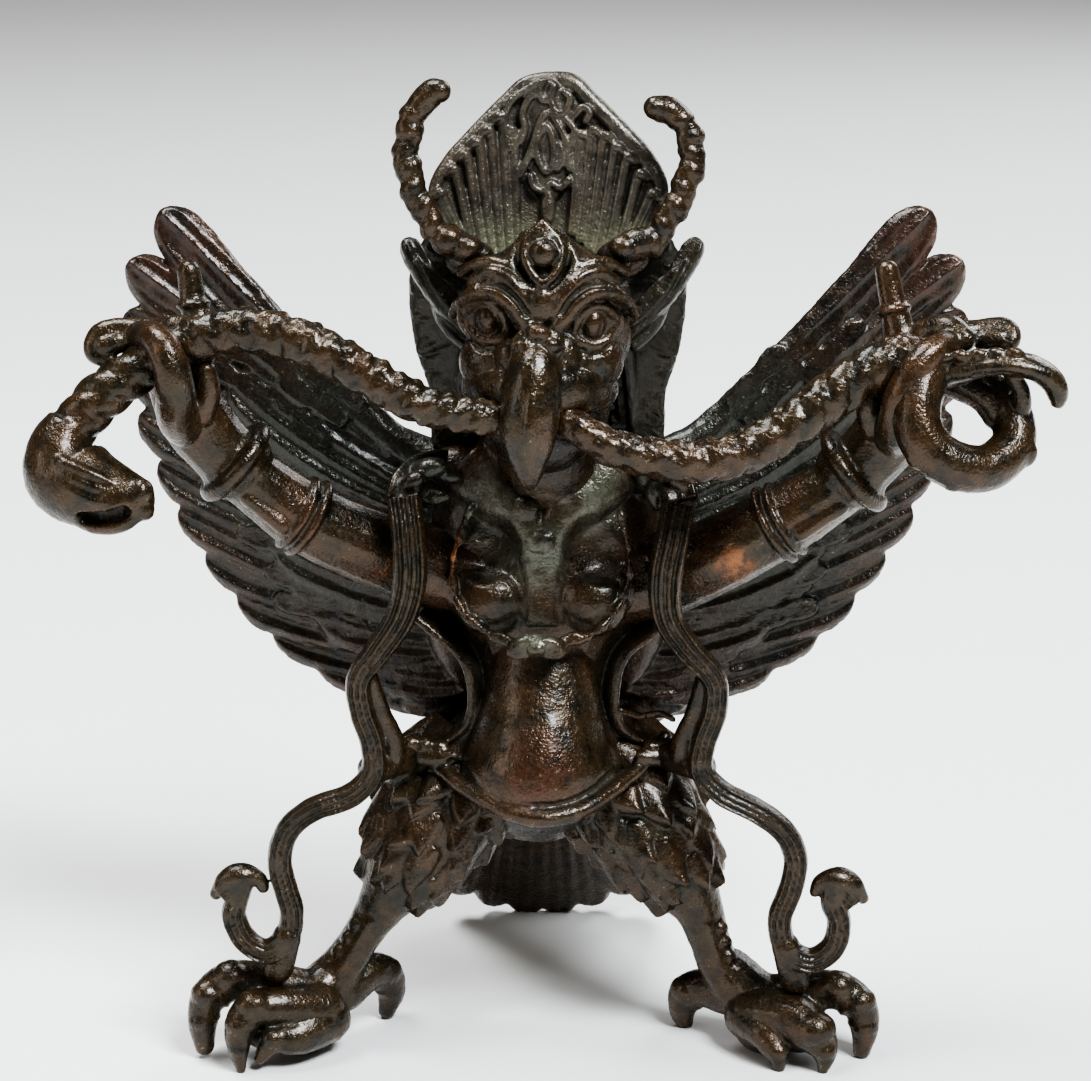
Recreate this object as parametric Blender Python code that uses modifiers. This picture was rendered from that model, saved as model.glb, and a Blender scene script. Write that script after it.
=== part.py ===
"""A small cast bronze garuda, standing on two clawed feet and its tail, with a snake through its beak and fists.

The whole figure is one casting, so every form below is fused into one solid. Blender's unit is the metre, and the
forms are drawn in millimetres on the figure's own body axis: X to the viewer's right, Y to the back, Z up. Left and
right are the viewer's, seen from the front. Points are (x, y, z, radius) for round forms, and
(x, y, z, half width, half thickness) for flat ones.
"""
import math

import bmesh
import bpy
from mathutils import Euler, Matrix, Vector

MM = 0.001
FIGURE_HEIGHT = 88.0
FOOTPRINT_SHIFT = (0.1, -6.1, 0.0)

HEAD_CENTRE = Vector((0.3, -3.5, 66.8))
HEAD_RADII = (7.6, 6.8, 8.2)
EYE_HEIGHT = 68.3
EYE_SPREAD = 4.5
CROWN_BASE = 73.0
CROWN_HALF_WIDTH = 10.1
CROWN_RIBS = 15
CROWN_THICKNESS = 1.5

WING_TIP = (34.5, 10.0, 74.6)
FEATHER_THICKNESS = 0.75
FEATHER_HALF_WIDTH = 2.5

RIBBON_HALF_WIDTH = 1.9
RIBBON_HALF_THICKNESS = 1.1
NECKLACE_BEADS = 19
THIGH_FEATHER_ROWS = 6

TAIL_FEATHERS = 7
TAIL_REACH = 28.4

VOXEL = 0.28
TRIANGLES = 9800
BRONZE = (0.055, 0.027, 0.018, 1.0)

ROUND = [(math.cos(a * math.tau / 12), math.sin(a * math.tau / 12)) for a in range(12)]
LEAF = [(1, 0), (0.62, 0.62), (0.12, 0.78), (0, 1.25), (-0.12, 0.78), (-0.62, 0.62),
        (-1, 0), (-0.62, -0.62), (-0.12, -0.78), (0, -1.25), (0.12, -0.78), (0.62, -0.62)]
FLUTED = [(1, 0), (0.86, 1.0), (0.56, 0.45), (0.3, 1.0), (0, 0.45), (-0.3, 1.0), (-0.56, 0.45), (-0.86, 1.0),
          (-1, 0), (-0.8, -0.8), (0, -1.0), (0.8, -0.8)]


def clear_scene():
    """Removes the objects that Blender starts with."""
    for thing in list(bpy.data.objects):
        bpy.data.objects.remove(thing)


def new_collection(name):
    """A collection linked to the scene."""
    collection = bpy.data.collections.new(name)
    bpy.context.scene.collection.children.link(collection)
    return collection


def smooth_path(points, steps=4):
    """Points on a Catmull-Rom curve through the given ones, with this many steps to each span."""
    ends = [points[0]] + list(points) + [points[-1]]
    path = []
    for a, b, c, d in zip(ends, ends[1:], ends[2:], ends[3:]):
        for step in range(steps):
            t = step / steps
            path.append(tuple(
                0.5 * (2 * q + (r - p) * t + (2 * p - 5 * q + 4 * r - s) * t**2 + (3 * q - p - 3 * r + s) * t**3)
                for p, q, r, s in zip(a, b, c, d)))
    path.append(tuple(points[-1]))
    return path


def domed(path):
    """The path of a rod with a round dome added past each end."""
    def dome(end, before):
        out = (Vector(end[:3]) - Vector(before[:3])).normalized()
        return [(*(Vector(end[:3]) + out * end[3] * math.sin(turn)), end[3] * max(math.cos(turn), 0.05))
                for turn in (math.pi / 6, math.pi / 3, math.pi / 2)]
    return dome(path[0], path[1])[::-1] + list(path) + dome(path[-1], path[-2])


class Casting:
    """Gathers the closed forms that the casting is fused from, in millimetres."""

    def __init__(self):
        self.shape = bmesh.new()
        self.rods = bpy.data.curves.new("rods", "CURVE")
        self.rods.dimensions = "3D"
        self.rods.bevel_depth = 1.0
        self.rods.bevel_resolution = 3
        self.rods.use_fill_caps = True

    def rod(self, points, steps=4):
        """A round rod with domed ends, through (x, y, z, radius) points."""
        path = domed(smooth_path(points, steps))
        spline = self.rods.splines.new("POLY")
        spline.points.add(len(path) - 1)
        for knot, (x, y, z, radius) in zip(spline.points, path):
            knot.co = (x, y, z, 1)
            knot.radius = radius

    def mesh(self):
        """One mesh of all the forms, in metres, placed over the middle of the footprint."""
        thing = bpy.data.objects.new("rods", self.rods)
        bpy.context.scene.collection.objects.link(thing)
        graph = bpy.context.evaluated_depsgraph_get()
        self.shape.from_mesh(bpy.data.meshes.new_from_object(thing.evaluated_get(graph)))
        bpy.data.objects.remove(thing)
        bmesh.ops.remove_doubles(self.shape, verts=self.shape.verts, dist=1e-5)
        bmesh.ops.recalc_face_normals(self.shape, faces=self.shape.faces)
        bmesh.ops.transform(self.shape, matrix=Matrix.Scale(MM, 4) @ Matrix.Translation(FOOTPRINT_SHIFT),
                            verts=self.shape.verts)
        mesh = bpy.data.meshes.new("garuda_figure")
        self.shape.to_mesh(mesh)
        self.shape.free()
        return mesh

    def ball(self, centre, radii, turn=(0, 0, 0)):
        """An ellipsoid, turned by degrees about X, Y and Z."""
        angles = Euler([math.radians(t) for t in turn])
        place = Matrix.LocRotScale(Vector(centre), angles, Vector(radii))
        bmesh.ops.create_uvsphere(self.shape, u_segments=20, v_segments=12, radius=1, matrix=place)

    def loft(self, path, normal, profile=ROUND):
        """Skins sections of one profile along (x, y, z, half width, half thickness) points.

        The profile's second axis leans to the normal, and its first lies across the path.
        """
        centres = [Vector(p[:3]) for p in path]
        rings = []
        for i, (centre, point) in enumerate(zip(centres, path)):
            along = (centres[min(i + 1, len(path) - 1)] - centres[max(i - 1, 0)]).normalized()
            across = Vector(normal).cross(along).normalized()
            out = along.cross(across)
            rings.append([self.shape.verts.new(centre + across * a * point[3] + out * b * point[4])
                          for a, b in profile])
        for ring, following in zip(rings, rings[1:]):
            for j in range(len(profile)):
                k = (j + 1) % len(profile)
                self.shape.faces.new((ring[j], ring[k], following[k], following[j]))
        self.shape.faces.new(rings[0][::-1])
        self.shape.faces.new(rings[-1])

    def feather(self, root, tip, half_width, normal, bow=0.0, thickness=FEATHER_THICKNESS):
        """A leaf-shaped feather with a raised quill and a round tip. Bow lifts its middle along the width."""
        root, tip = Vector(root), Vector(tip)
        across = Vector(normal).cross(tip - root).normalized()
        path = []
        bend = max(1 - 1.5 * half_width / (tip - root).length, 0.6)
        for s in [i * bend / 7 for i in range(8)] + [bend + (1 - bend) * i for i in (0.35, 0.65, 0.85, 0.97, 1)]:
            taper = math.sqrt(max(1 - ((s - bend) / (1 - bend)) ** 2, 0.02)) if s > bend else 1.0
            width = half_width * (0.55 + 0.45 * math.sin(math.pi / 2 * min(s / 0.6, 1))) * taper
            centre = root.lerp(tip, s) + across * bow * math.sin(math.pi * s)
            path.append((*centre, width, thickness * (0.5 + 0.5 * taper)))
        self.loft(path, normal, LEAF)

    def ring(self, centre, axis, radii, thickness):
        """A closed band round an arm or an eye, seen along its axis."""
        axis = Vector(axis).normalized()
        side = axis.cross(Vector((0.3, 0, 1))).normalized()
        up = axis.cross(side)
        turns = 16
        points = []
        for step in range(turns + 1):
            angle = math.tau * step / turns
            place = Vector(centre) + side * radii[0] * math.cos(angle) + up * radii[1] * math.sin(angle)
            points.append((*place, thickness))
        self.rod(points, steps=1)


def torso(cast):
    """The trunk from the crotch to the neck, with the round belly, its hem, the sashes and the two breasts."""
    trunk = [(-0.6, 2.5, 19.0, 4.0, 3.5), (-0.6, 1.5, 22.5, 8.0, 6.0), (-0.5, 0.3, 26.0, 10.2, 6.6),
             (-0.4, 0.2, 28.6, 9.0, 6.2), (-0.3, 0.3, 31.0, 6.9, 5.4), (-0.2, 0.4, 34.0, 6.2, 5.0),
             (-0.1, 0.6, 37.5, 7.4, 5.4), (0, 0.8, 41.0, 9.4, 5.9), (0, 1.2, 46.0, 10.2, 5.8),
             (0, 1.4, 50.5, 9.8, 5.2), (0.1, 0.8, 54.0, 6.6, 4.8), (0.2, -1.0, 59.0, 4.8, 4.6)]
    cast.loft(smooth_path(trunk, 3), (0, -1, 0))
    belly = [(-0.3, -2.6, 38.0, 3.8, 2.6), (-0.3, -2.8, 35.4, 5.0, 3.6), (-0.3, -3.0, 32.6, 5.5, 4.9),
             (-0.4, -3.2, 29.6, 6.3, 6.5), (-0.5, -3.3, 27.0, 7.2, 7.4), (-0.5, -3.2, 25.2, 7.0, 7.5),
             (-0.5, -3.0, 24.2, 5.2, 6.2)]
    cast.loft(smooth_path(belly, 3), (0, -1, 0))
    hem = [(-11.4, -1.6, 28.0, 0.8), (-10.3, -3.4, 26.9, 0.9), (-7.6, -6.6, 25.7, 0.95), (-4.5, -9.4, 24.7, 1.0),
           (-1.5, -10.6, 24.1, 1.0), (1.0, -10.6, 24.1, 1.0), (3.6, -9.6, 24.6, 1.0), (6.6, -6.8, 25.8, 0.95),
           (9.2, -3.6, 26.9, 0.9), (10.4, -1.6, 28.2, 0.8)]
    cast.rod(hem)
    for side in (-1, 1):
        cast.ball((side * 4.1, -4.9, 42.9), (3.4, 3.5, 3.0))
        cast.ball((side * 4.6, -1.9, 49.6), (4.8, 3.6, 3.6))
        sash = [(side * 10.4, -1.2, 39.4, 0.9), (side * 8.2, -3.0, 37.2, 0.85), (side * 6.9, -3.8, 35.0, 0.8),
                (side * 6.8, -4.0, 32.2, 0.8), (side * 8.6, -3.4, 29.2, 0.9), (side * 11.0, -2.0, 28.2, 1.1),
                (side * 12.8, -2.6, 28.0, 1.3)]
        cast.rod(sash)


def necklace(cast):
    """The beaded garland that hangs under the breasts, with a flower at its lowest point and a peg by one end."""
    line = smooth_path([(-7.0, -3.2, 50.6, 0.6), (-8.2, -4.0, 46.8, 0.6), (-7.8, -5.6, 43.2, 0.65),
                        (-5.6, -7.4, 40.6, 0.7), (-0.6, -7.5, 39.3, 0.7), (4.6, -7.4, 40.5, 0.7),
                        (7.4, -5.6, 43.4, 0.65), (8.0, -4.0, 46.8, 0.6), (7.0, -3.2, 50.6, 0.6)], 8)
    for bead in range(NECKLACE_BEADS):
        x, y, z, radius = line[round(bead * (len(line) - 1) / (NECKLACE_BEADS - 1))]
        cast.ball((x, y, z), (radius * 1.3, radius, radius * 1.1))
    cast.rod([(x, y + 0.4, z, radius * 0.8) for x, y, z, radius in line], steps=1)
    cast.ball((-0.7, -8.1, 39.7), (2.0, 1.0, 1.3))
    cast.rod([(-7.4, -5.0, 47.0, 0.6), (-5.4, -6.0, 47.2, 0.65)])


def head(cast):
    """The skull with its cheeks, round eyes, flame brows, forehead jewel and long hooked beak."""
    x, y, z = HEAD_CENTRE
    cast.ball(HEAD_CENTRE, HEAD_RADII)
    brow_cap = [(-7.2, -6.4, 72.8, 1.6), (-4.8, -7.4, 73.2, 1.6), (-2.4, -8.2, 74.2, 1.5), (-0.2, -8.4, 75.6, 1.3),
                (2.4, -8.2, 74.4, 1.5), (4.8, -7.4, 73.2, 1.6), (7.4, -6.4, 73.0, 1.6)]
    cast.rod(brow_cap)
    cast.ball((x - 0.2, -4.6, 71.4), (7.4, 6.2, 4.6))
    cast.ball((x - 0.6, -6.0, 57.8), (4.6, 5.0, 3.6))
    for side in (-1, 1):
        cheek = [(x - 0.9 + side * 1.5, -10.8, 65.6, 1.3), (x - 0.8 + side * 3.4, -9.8, 63.6, 1.8),
                 (x - 0.6 + side * 5.2, -7.8, 61.6, 2.0), (x - 0.5 + side * 6.2, -5.4, 60.2, 1.8)]
        cast.rod(cheek)
        cast.ball((x - 0.7 + side * 4.9, -7.6, 65.2), (2.7, 2.6, 2.4))
        eye = (x - 0.8 + side * EYE_SPREAD, -9.7, EYE_HEIGHT - 0.15 * side)
        cast.ball(eye, (1.2, 1.6, 1.8))
        cast.ring(eye, (side * 0.4, -1, 0), (2.4, 2.3), 0.45)
        brow = [(0.3, -11.0, 68.2, 0.9), (side * 1.9, -11.1, 69.2, 0.95), (side * 3.6, -10.8, 70.4, 0.85),
                (side * 5.4, -10.2, 70.8, 0.75), (side * 7.1, -8.6, 69.8, 0.65)]
        cast.rod([(x - 0.6 + a, b, c, r) for a, b, c, r in brow])
        curl = [(side * 1.1, -11.0, 70.0, 0.75), (side * 3.0, -10.9, 71.7, 0.75), (side * 4.6, -10.2, 72.5, 0.7),
                (side * 6.2, -9.0, 72.6, 0.7), (side * 7.2, -7.8, 71.7, 0.6), (side * 6.6, -8.4, 70.9, 0.45)]
        cast.rod([(x - 0.6 + a, b, c, r) for a, b, c, r in curl])
        nostril = [(side * 0.9, -11.8, 67.2, 0.7), (side * 1.6, -11.7, 66.0, 0.85), (side * 1.8, -11.5, 64.8, 0.7)]
        cast.rod([(x - 1.1 + a, b, c, r) for a, b, c, r in nostril])
    keel = [(1, -0.2), (0.82, 0.3), (0.45, 0.75), (0, 1.1), (-0.45, 0.75), (-0.82, 0.3), (-1, -0.2), (-0.5, -0.9),
            (0, -1), (0.5, -0.9)]
    upper_jaw = [(-0.7, -8.6, 68.0, 1.2, 2.4), (-0.7, -8.8, 66.2, 1.9, 2.8), (-0.6, -9.0, 63.6, 3.2, 2.9),
                 (-0.5, -8.8, 61.2, 4.9, 3.0), (-0.5, -8.2, 59.6, 5.0, 2.8)]
    cast.loft(smooth_path(upper_jaw, 3), (0, -1, 0), keel)
    beak = [(-0.7, -10.2, 68.0, 1.0, 1.3), (-0.8, -11.8, 66.4, 1.3, 1.7), (-1.0, -13.2, 63.6, 1.65, 2.2),
            (-1.2, -14.0, 60.8, 2.0, 2.4), (-1.35, -14.0, 58.4, 2.3, 2.2), (-1.45, -13.4, 56.6, 2.0, 1.7),
            (-1.5, -12.8, 55.4, 1.3, 1.2), (-1.5, -12.2, 54.5, 0.4, 0.4)]
    cast.loft(smooth_path(beak, 3), (0, -1, 0), keel)
    cast.ball((-0.9, -10.0, 57.2), (3.0, 3.4, 1.9))
    cast.ball((-0.3, -11.0, 74.2), (1.2, 1.0, 1.2))
    for side in (-1, 1):
        frame = [(0, -9.6, 76.2, 0.75), (side * 1.6, -9.9, 74.9, 0.75), (side * 2.5, -10.2, 73.5, 0.75),
                 (side * 1.4, -11.0, 72.3, 0.75), (0, -11.3, 71.2, 0.8)]
        cast.rod([(a - 0.2, b, c, r) for a, b, c, r in frame])


def crown_half_width(z):
    """Half the width of the crown's pointed arch at this height."""
    outline = smooth_path([(CROWN_BASE, 5.8), (75.5, 9.0), (78.2, CROWN_HALF_WIDTH), (80.4, 8.9), (82.9, 6.6),
                           (85.4, 4.0), (87.0, 2.0), (FIGURE_HEIGHT, 0.3)], 6)
    for (low, near), (high, far) in zip(outline, outline[1:]):
        if z <= high:
            return near + (far - near) * (z - low) / max(high - low, 1e-6)
    return outline[-1][1]


def crown(cast):
    """The leaf-shaped crest behind the forehead: a fan of ribs in a shallow dish, with a scrolled flame in front."""
    def dish(x, z):
        """How far back the dish's front lies: its edges come forward round the scrolls."""
        return -1.6 + 0.2 * (z - CROWN_BASE) - 1.8 * (x / CROWN_HALF_WIDTH) ** 2

    levels = [CROWN_BASE - 2 + (FIGURE_HEIGHT - CROWN_BASE + 1.6) * i / 9 for i in range(10)]
    plate = []
    for z in levels:
        half = crown_half_width(max(z, CROWN_BASE))
        plate.append([Vector((0.3 + half * a, dish(half * a, z), z)) for a in (-1, -0.75, -0.5, -0.25, 0, 0.25, 0.5,
                                                                               0.75, 1)])
    rings = []
    for row in plate:
        back = [point + Vector((0, CROWN_THICKNESS, 0)) for point in reversed(row)]
        rings.append([cast.shape.verts.new(point) for point in row + back])
    for ring, following in zip(rings, rings[1:]):
        for j in range(len(ring)):
            k = (j + 1) % len(ring)
            cast.shape.faces.new((ring[j], ring[k], following[k], following[j]))
    cast.shape.faces.new(rings[0][::-1])
    cast.shape.faces.new(rings[-1])
    for rib in range(CROWN_RIBS):
        share = 2 * rib / (CROWN_RIBS - 1) - 1
        foot, reach = share * 5.4, share * CROWN_HALF_WIDTH * 0.97
        top = CROWN_BASE + 1.5
        while top < FIGURE_HEIGHT - 0.6 and crown_half_width(top + 0.3) > abs(foot + (reach - foot) * min(
                (top - CROWN_BASE) / 7, 1)) or top < CROWN_BASE + 5:
            top += 0.3
        points = []
        for step in range(6):
            z = CROWN_BASE + (top - CROWN_BASE) * step / 5
            x = foot + (reach - foot) * min((z - CROWN_BASE) / 7, 1) ** 0.8
            x = max(min(x, crown_half_width(z) - 0.3), -crown_half_width(z) + 0.3)
            points.append((0.3 + x, dish(x, z) - 0.15, z, 0.42))
        cast.rod(points, steps=2)
    rim = [(0.3 + side * (crown_half_width(z) - 0.2), dish(crown_half_width(z), z) + 0.3, z, 0.75)
           for side, heights in ((-1, (74, 75.5, 78, 80.5, 83, 85.5, 87)), (1, (87, 85.5, 83, 80.5, 78, 75.5, 74)))
           for z in heights]
    cast.rod(rim, steps=3)
    scroll(cast, dish)


def scroll(cast, dish):
    """The flame scrolls in the middle of the crown, as raised lines on the dish."""
    arch = [(-1.9, 77.4), (-2.3, 79.6), (-1.2, 82.2), (-0.2, 83.6), (0.9, 82.2), (1.6, 79.8), (1.0, 77.6)]
    leaf = [(-0.2, 77.0), (-0.9, 79.4), (-0.2, 81.6), (0.5, 79.4), (-0.2, 77.0)]
    stem = [(-0.1, 74.5), (0.1, 76.0), (-0.2, 77.4)]
    curls = [[(side * 2.6, 79.5), (side * 3.1, 82.0), (side * 2.1, 84.0), (side * 0.9, 83.8), (side * 1.3, 82.7)]
             for side in (-1, 1)]
    peak = [(-1.2, 84.6), (-0.3, 86.3), (0.4, 85.4), (1.1, 84.4), (0.3, 84.1)]
    for line in [arch, leaf, stem, peak] + curls:
        cast.rod([(0.3 + x, dish(x, z) - 0.5, z, 0.5) for x, z in line])


def horns(cast):
    """Two horns like twisted ropes, rising from the temples and curling in at the tips."""
    left = [(-6.6, -5.5, 73.2, 1.5), (-9.4, -5.8, 75.0, 1.45), (-11.3, -5.0, 77.2, 1.4), (-12.2, -4.0, 80.0, 1.3),
            (-12.2, -3.4, 83.2, 1.2), (-11.3, -4.0, 85.8, 1.15), (-9.4, -4.8, 87.2, 1.0)]
    right = [(7.2, -5.5, 73.2, 1.5), (10.0, -5.8, 75.2, 1.45), (12.0, -5.0, 77.2, 1.4), (13.0, -4.0, 79.8, 1.3),
             (13.0, -3.4, 82.6, 1.2), (12.1, -4.0, 85.0, 1.15), (10.2, -4.8, 85.7, 1.0)]
    for line in (left, right):
        path = smooth_path(line, 5)
        lumps = [(x, y, z, radius * (0.86 + 0.2 * abs(math.sin(i * math.pi / 5)))) for i, (x, y, z, radius)
                 in enumerate(path)]
        cast.rod(lumps, steps=1)
        for i, (x, y, z, radius) in enumerate(path[2::5]):
            lean = 0.35 * (-1) ** i
            cast.ball((x + lean, y - 0.3, z), (radius * 1.08, radius * 1.05, radius * 1.15))


def mane(cast):
    """Pointed ears, and the flat curtains of hair that fall behind the head to the shoulders."""
    for side in (-1, 1):
        cast.feather((0.4 + side * 6.6, -4.2, 66.4), (0.5 + side * 13.2, -2.0, 73.9), 1.8, (-side * 0.35, -1, 0.2),
                     thickness=0.95)
        cast.feather((0.4 + side * 7.0, -3.4, 65.4), (0.4 + side * 12.0, -0.6, 71.0), 1.6, (-side * 0.35, -1, 0.2),
                     thickness=0.9)
        curtain = [(side * 7.6, 0.6, 73.4, 3.0, 1.1), (side * 8.9, 1.6, 70.0, 3.3, 1.1),
                   (side * 9.2, 2.4, 67.0, 3.1, 1.1), (side * 8.9, 3.0, 63.4, 2.9, 1.1),
                   (side * 8.2, 3.6, 60.0, 2.6, 1.1), (side * 8.0, 4.0, 56.6, 2.6, 1.1),
                   (side * 8.0, 4.2, 53.6, 2.6, 1.2)]
        cast.loft([(x + 0.2, y, z, wide, deep) for x, y, z, wide, deep in smooth_path(curtain, 3)], (0, -1, 0))
    for lock in range(7):
        share = lock / 6 * 2 - 1
        root = (0.3 + share * 5.0, 1.2 - 2.2 * share**2, 76.0 - 2.0 * share**2)
        tip = (share * 7.5, 6.4 - 1.2 * share**2, 53.5)
        cast.feather(root, tip, 1.9, (share * 0.4, 1, 0.1), thickness=1.5)


def snake(cast):
    """The snake: out of the left corner of the beak to the left fist and its hanging head, and right to its tail."""
    left = [(-1.0, -10.4, 59.6, 1.6), (-3.8, -11.4, 60.0, 1.7), (-6.4, -11.8, 60.4, 1.75), (-10.6, -11.8, 61.4, 1.85),
            (-14.8, -11.0, 63.6, 1.95), (-19.1, -10.0, 65.8, 2.0), (-23.4, -9.0, 67.0, 2.05),
            (-27.3, -8.3, 67.0, 2.0), (-31.1, -8.2, 65.8, 2.0), (-34.6, -8.4, 63.8, 2.1), (-38.0, -9.2, 61.4, 2.2),
            (-40.2, -10.0, 58.9, 2.2)]
    cast.rod(left)
    pod = [(-40.3, -10.1, 59.6, 2.0, 2.0), (-41.2, -10.6, 57.4, 2.9, 2.9), (-40.8, -11.2, 55.4, 3.7, 3.4),
           (-39.0, -12.0, 54.4, 3.6, 3.4), (-37.0, -12.8, 53.9, 3.0, 2.9), (-35.2, -13.5, 53.7, 2.3, 2.3),
           (-33.9, -14.0, 53.6, 1.7, 1.8), (-33.3, -14.2, 53.6, 0.8, 1.0)]
    cast.loft(smooth_path(pod, 3), (0, -1, 0))
    right = [(-0.6, -10.4, 59.6, 1.6), (3.6, -11.6, 59.2, 1.7), (8.0, -12.0, 57.3, 1.85), (12.2, -12.0, 56.5, 1.9),
             (16.5, -11.2, 57.0, 2.0), (20.8, -10.2, 59.2, 2.1), (24.3, -9.3, 61.6, 2.2), (27.7, -8.5, 63.6, 2.3),
             (31.0, -8.2, 65.0, 2.2)]
    cast.rod(right)
    loop = [(32.6, -9.0, 64.0, 1.9), (31.6, -10.6, 62.4, 1.9), (31.2, -11.8, 59.9, 1.9), (32.2, -12.4, 57.6, 1.85),
            (34.8, -12.4, 55.9, 1.85), (37.8, -11.4, 55.6, 1.85), (40.2, -9.6, 57.2, 1.85), (40.2, -8.0, 59.8, 1.7),
            (38.6, -6.8, 61.8, 1.5), (35.6, -6.2, 63.2, 1.5)]
    cast.rod(loop)
    fin = [(33.0, -8.4, 64.2, 1.5, 1.7), (36.0, -9.4, 64.9, 1.3, 1.9), (38.8, -10.0, 65.2, 1.15, 2.0),
           (41.2, -10.3, 64.6, 1.1, 1.9), (42.8, -10.5, 63.3, 1.1, 1.6), (43.5, -10.5, 61.9, 0.95, 1.1),
           (43.6, -10.5, 60.9, 0.4, 0.5)]
    cast.loft(smooth_path(fin, 3), (0, -1, 0))


def arms(cast):
    """Both arms with their armlets and gauntlets, and the hands that grip the snake."""
    left = [(-5.0, 0.5, 43.0, 3.8), (-9.6, -0.2, 43.9, 3.8), (-14.9, -2.0, 46.2, 3.5), (-20.9, -3.6, 49.4, 3.2),
            (-25.8, -4.6, 53.4, 2.8), (-28.6, -5.0, 56.4, 3.0), (-30.6, -5.3, 59.4, 3.1), (-32.0, -5.6, 63.2, 2.6)]
    right = [(5.0, 0.5, 42.0, 3.8), (9.4, -0.2, 42.8, 3.8), (14.2, -2.0, 45.2, 3.5), (20.2, -3.6, 48.8, 3.2),
             (25.6, -4.6, 52.6, 2.8), (28.4, -5.0, 55.6, 3.0), (30.6, -5.3, 58.8, 3.1), (32.4, -5.6, 63.0, 2.6)]
    for line in (left, right):
        cast.rod(line)
        shoulder, band, cuff = Vector(line[2][:3]), Vector(line[3][:3]), Vector(line[4][:3])
        wrist = Vector(line[5][:3])
        cast.ring(band, cuff - shoulder, (3.7, 3.8), 0.55)
        cast.ring(band + (cuff - shoulder).normalized() * 1.2, cuff - shoulder, (3.5, 3.6), 0.5)
        cast.ring(cuff.lerp(wrist, 0.5), wrist - band, (3.7, 3.9), 0.95)
    cast.rod([(-31.0, -5.4, 62.0, 2.4), (-29.8, -4.6, 66.0, 1.5), (-30.4, -3.8, 68.8, 1.05), (-30.7, -3.4, 71.6, 0.95)])
    cast.rod([(-34.8, -7.2, 66.4, 1.3), (-33.0, -10.2, 66.9, 1.4), (-31.8, -11.6, 65.6, 1.6),
              (-31.2, -11.6, 62.8, 1.8), (-31.4, -9.8, 60.2, 1.9), (-31.2, -7.6, 58.6, 1.8)])
    cast.rod([(-33.6, -6.8, 66.8, 1.2), (-36.4, -6.8, 67.0, 1.05), (-38.2, -7.0, 66.4, 1.1), (-38.6, -7.6, 65.0, 0.9),
              (-37.2, -8.0, 64.4, 0.8)])
    cast.ball((-32.2, -5.6, 63.6), (3.0, 3.0, 3.2))
    cast.rod([(31.2, -5.4, 62.0, 2.4), (30.6, -4.8, 65.6, 1.4), (30.0, -4.0, 68.4, 1.15), (29.4, -3.4, 71.6, 0.95)])
    cast.rod([(36.2, -7.0, 65.8, 1.3), (34.2, -10.0, 65.8, 1.5), (32.2, -11.2, 64.4, 1.6), (30.7, -11.4, 61.6, 1.7),
              (30.4, -10.0, 59.0, 1.8), (30.4, -8.0, 57.8, 1.8)])
    cast.rod([(34.0, -5.6, 66.2, 1.4), (36.8, -5.2, 66.4, 1.1), (39.4, -5.2, 66.7, 1.1), (40.0, -6.2, 66.0, 0.9),
              (39.4, -6.6, 65.2, 0.75)])
    cast.ball((32.8, -5.6, 63.8), (3.2, 3.0, 3.2))


def wings(cast):
    """Two wings of long overlapping feathers that fan out from the back, with shorter ones over their roots."""
    tips = [WING_TIP, (37.5, 10.2, 70.0), (38.0, 10.2, 65.2), (37.8, 10.0, 60.4), (37.0, 9.8, 55.8), (35.4, 9.6, 51.2),
            (33.6, 9.4, 47.0), (31.2, 9.2, 42.8), (28.4, 9.0, 39.0), (25.2, 8.8, 35.8), (21.2, 8.4, 33.2),
            (16.6, 7.6, 31.7), (11.8, 6.8, 30.6), (7.6, 6.0, 29.6)]
    roots = [(11.5, 5.2, 52.5), (9.5, 5.0, 47.0), (7.8, 4.6, 41.0), (6.4, 4.4, 36.0), (5.2, 4.2, 32.5), (3.0, 4.2, 30.2)]
    last = len(tips) - 1
    root_line = smooth_path(roots, 6)
    for side in (-1, 1):
        def mirrored(point, back=0.0):
            return (side * point[0], point[1] + back, point[2])
        for i, tip in enumerate(tips):
            root = root_line[round(i * (len(root_line) - 1) / last)]
            half = FEATHER_HALF_WIDTH if i else 2.6
            cast.feather(mirrored(root), mirrored(tip, 0.3 * (i % 2)), half, (0, -1, 0), bow=side * -1.5)
            if i % 2 == 0 and i:
                end = Vector(root).lerp(Vector(tip), 0.66)
                cast.feather(mirrored(root, -0.8), mirrored(end, -0.9), 2.7, (0, -1, 0), bow=side * -1.0)
                cast.feather(mirrored(root, 1.0), mirrored(end, 1.2), 2.7, (0, -1, 0), bow=side * -1.0)
        edge = [(side * 5.0, 3.5, 51.0, 2.6), (side * 13.4, 5.6, 54.2, 1.5), (side * 20.8, 7.6, 60.6, 1.25),
                (side * 27.6, 9.2, 67.6, 1.15), (side * 32.8, 9.8, 73.2, 1.1)]
        cast.rod(edge)
        cast.ball((side * 6.0, 3.4, 42.0), (5.5, 3.0, 11.0))


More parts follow.
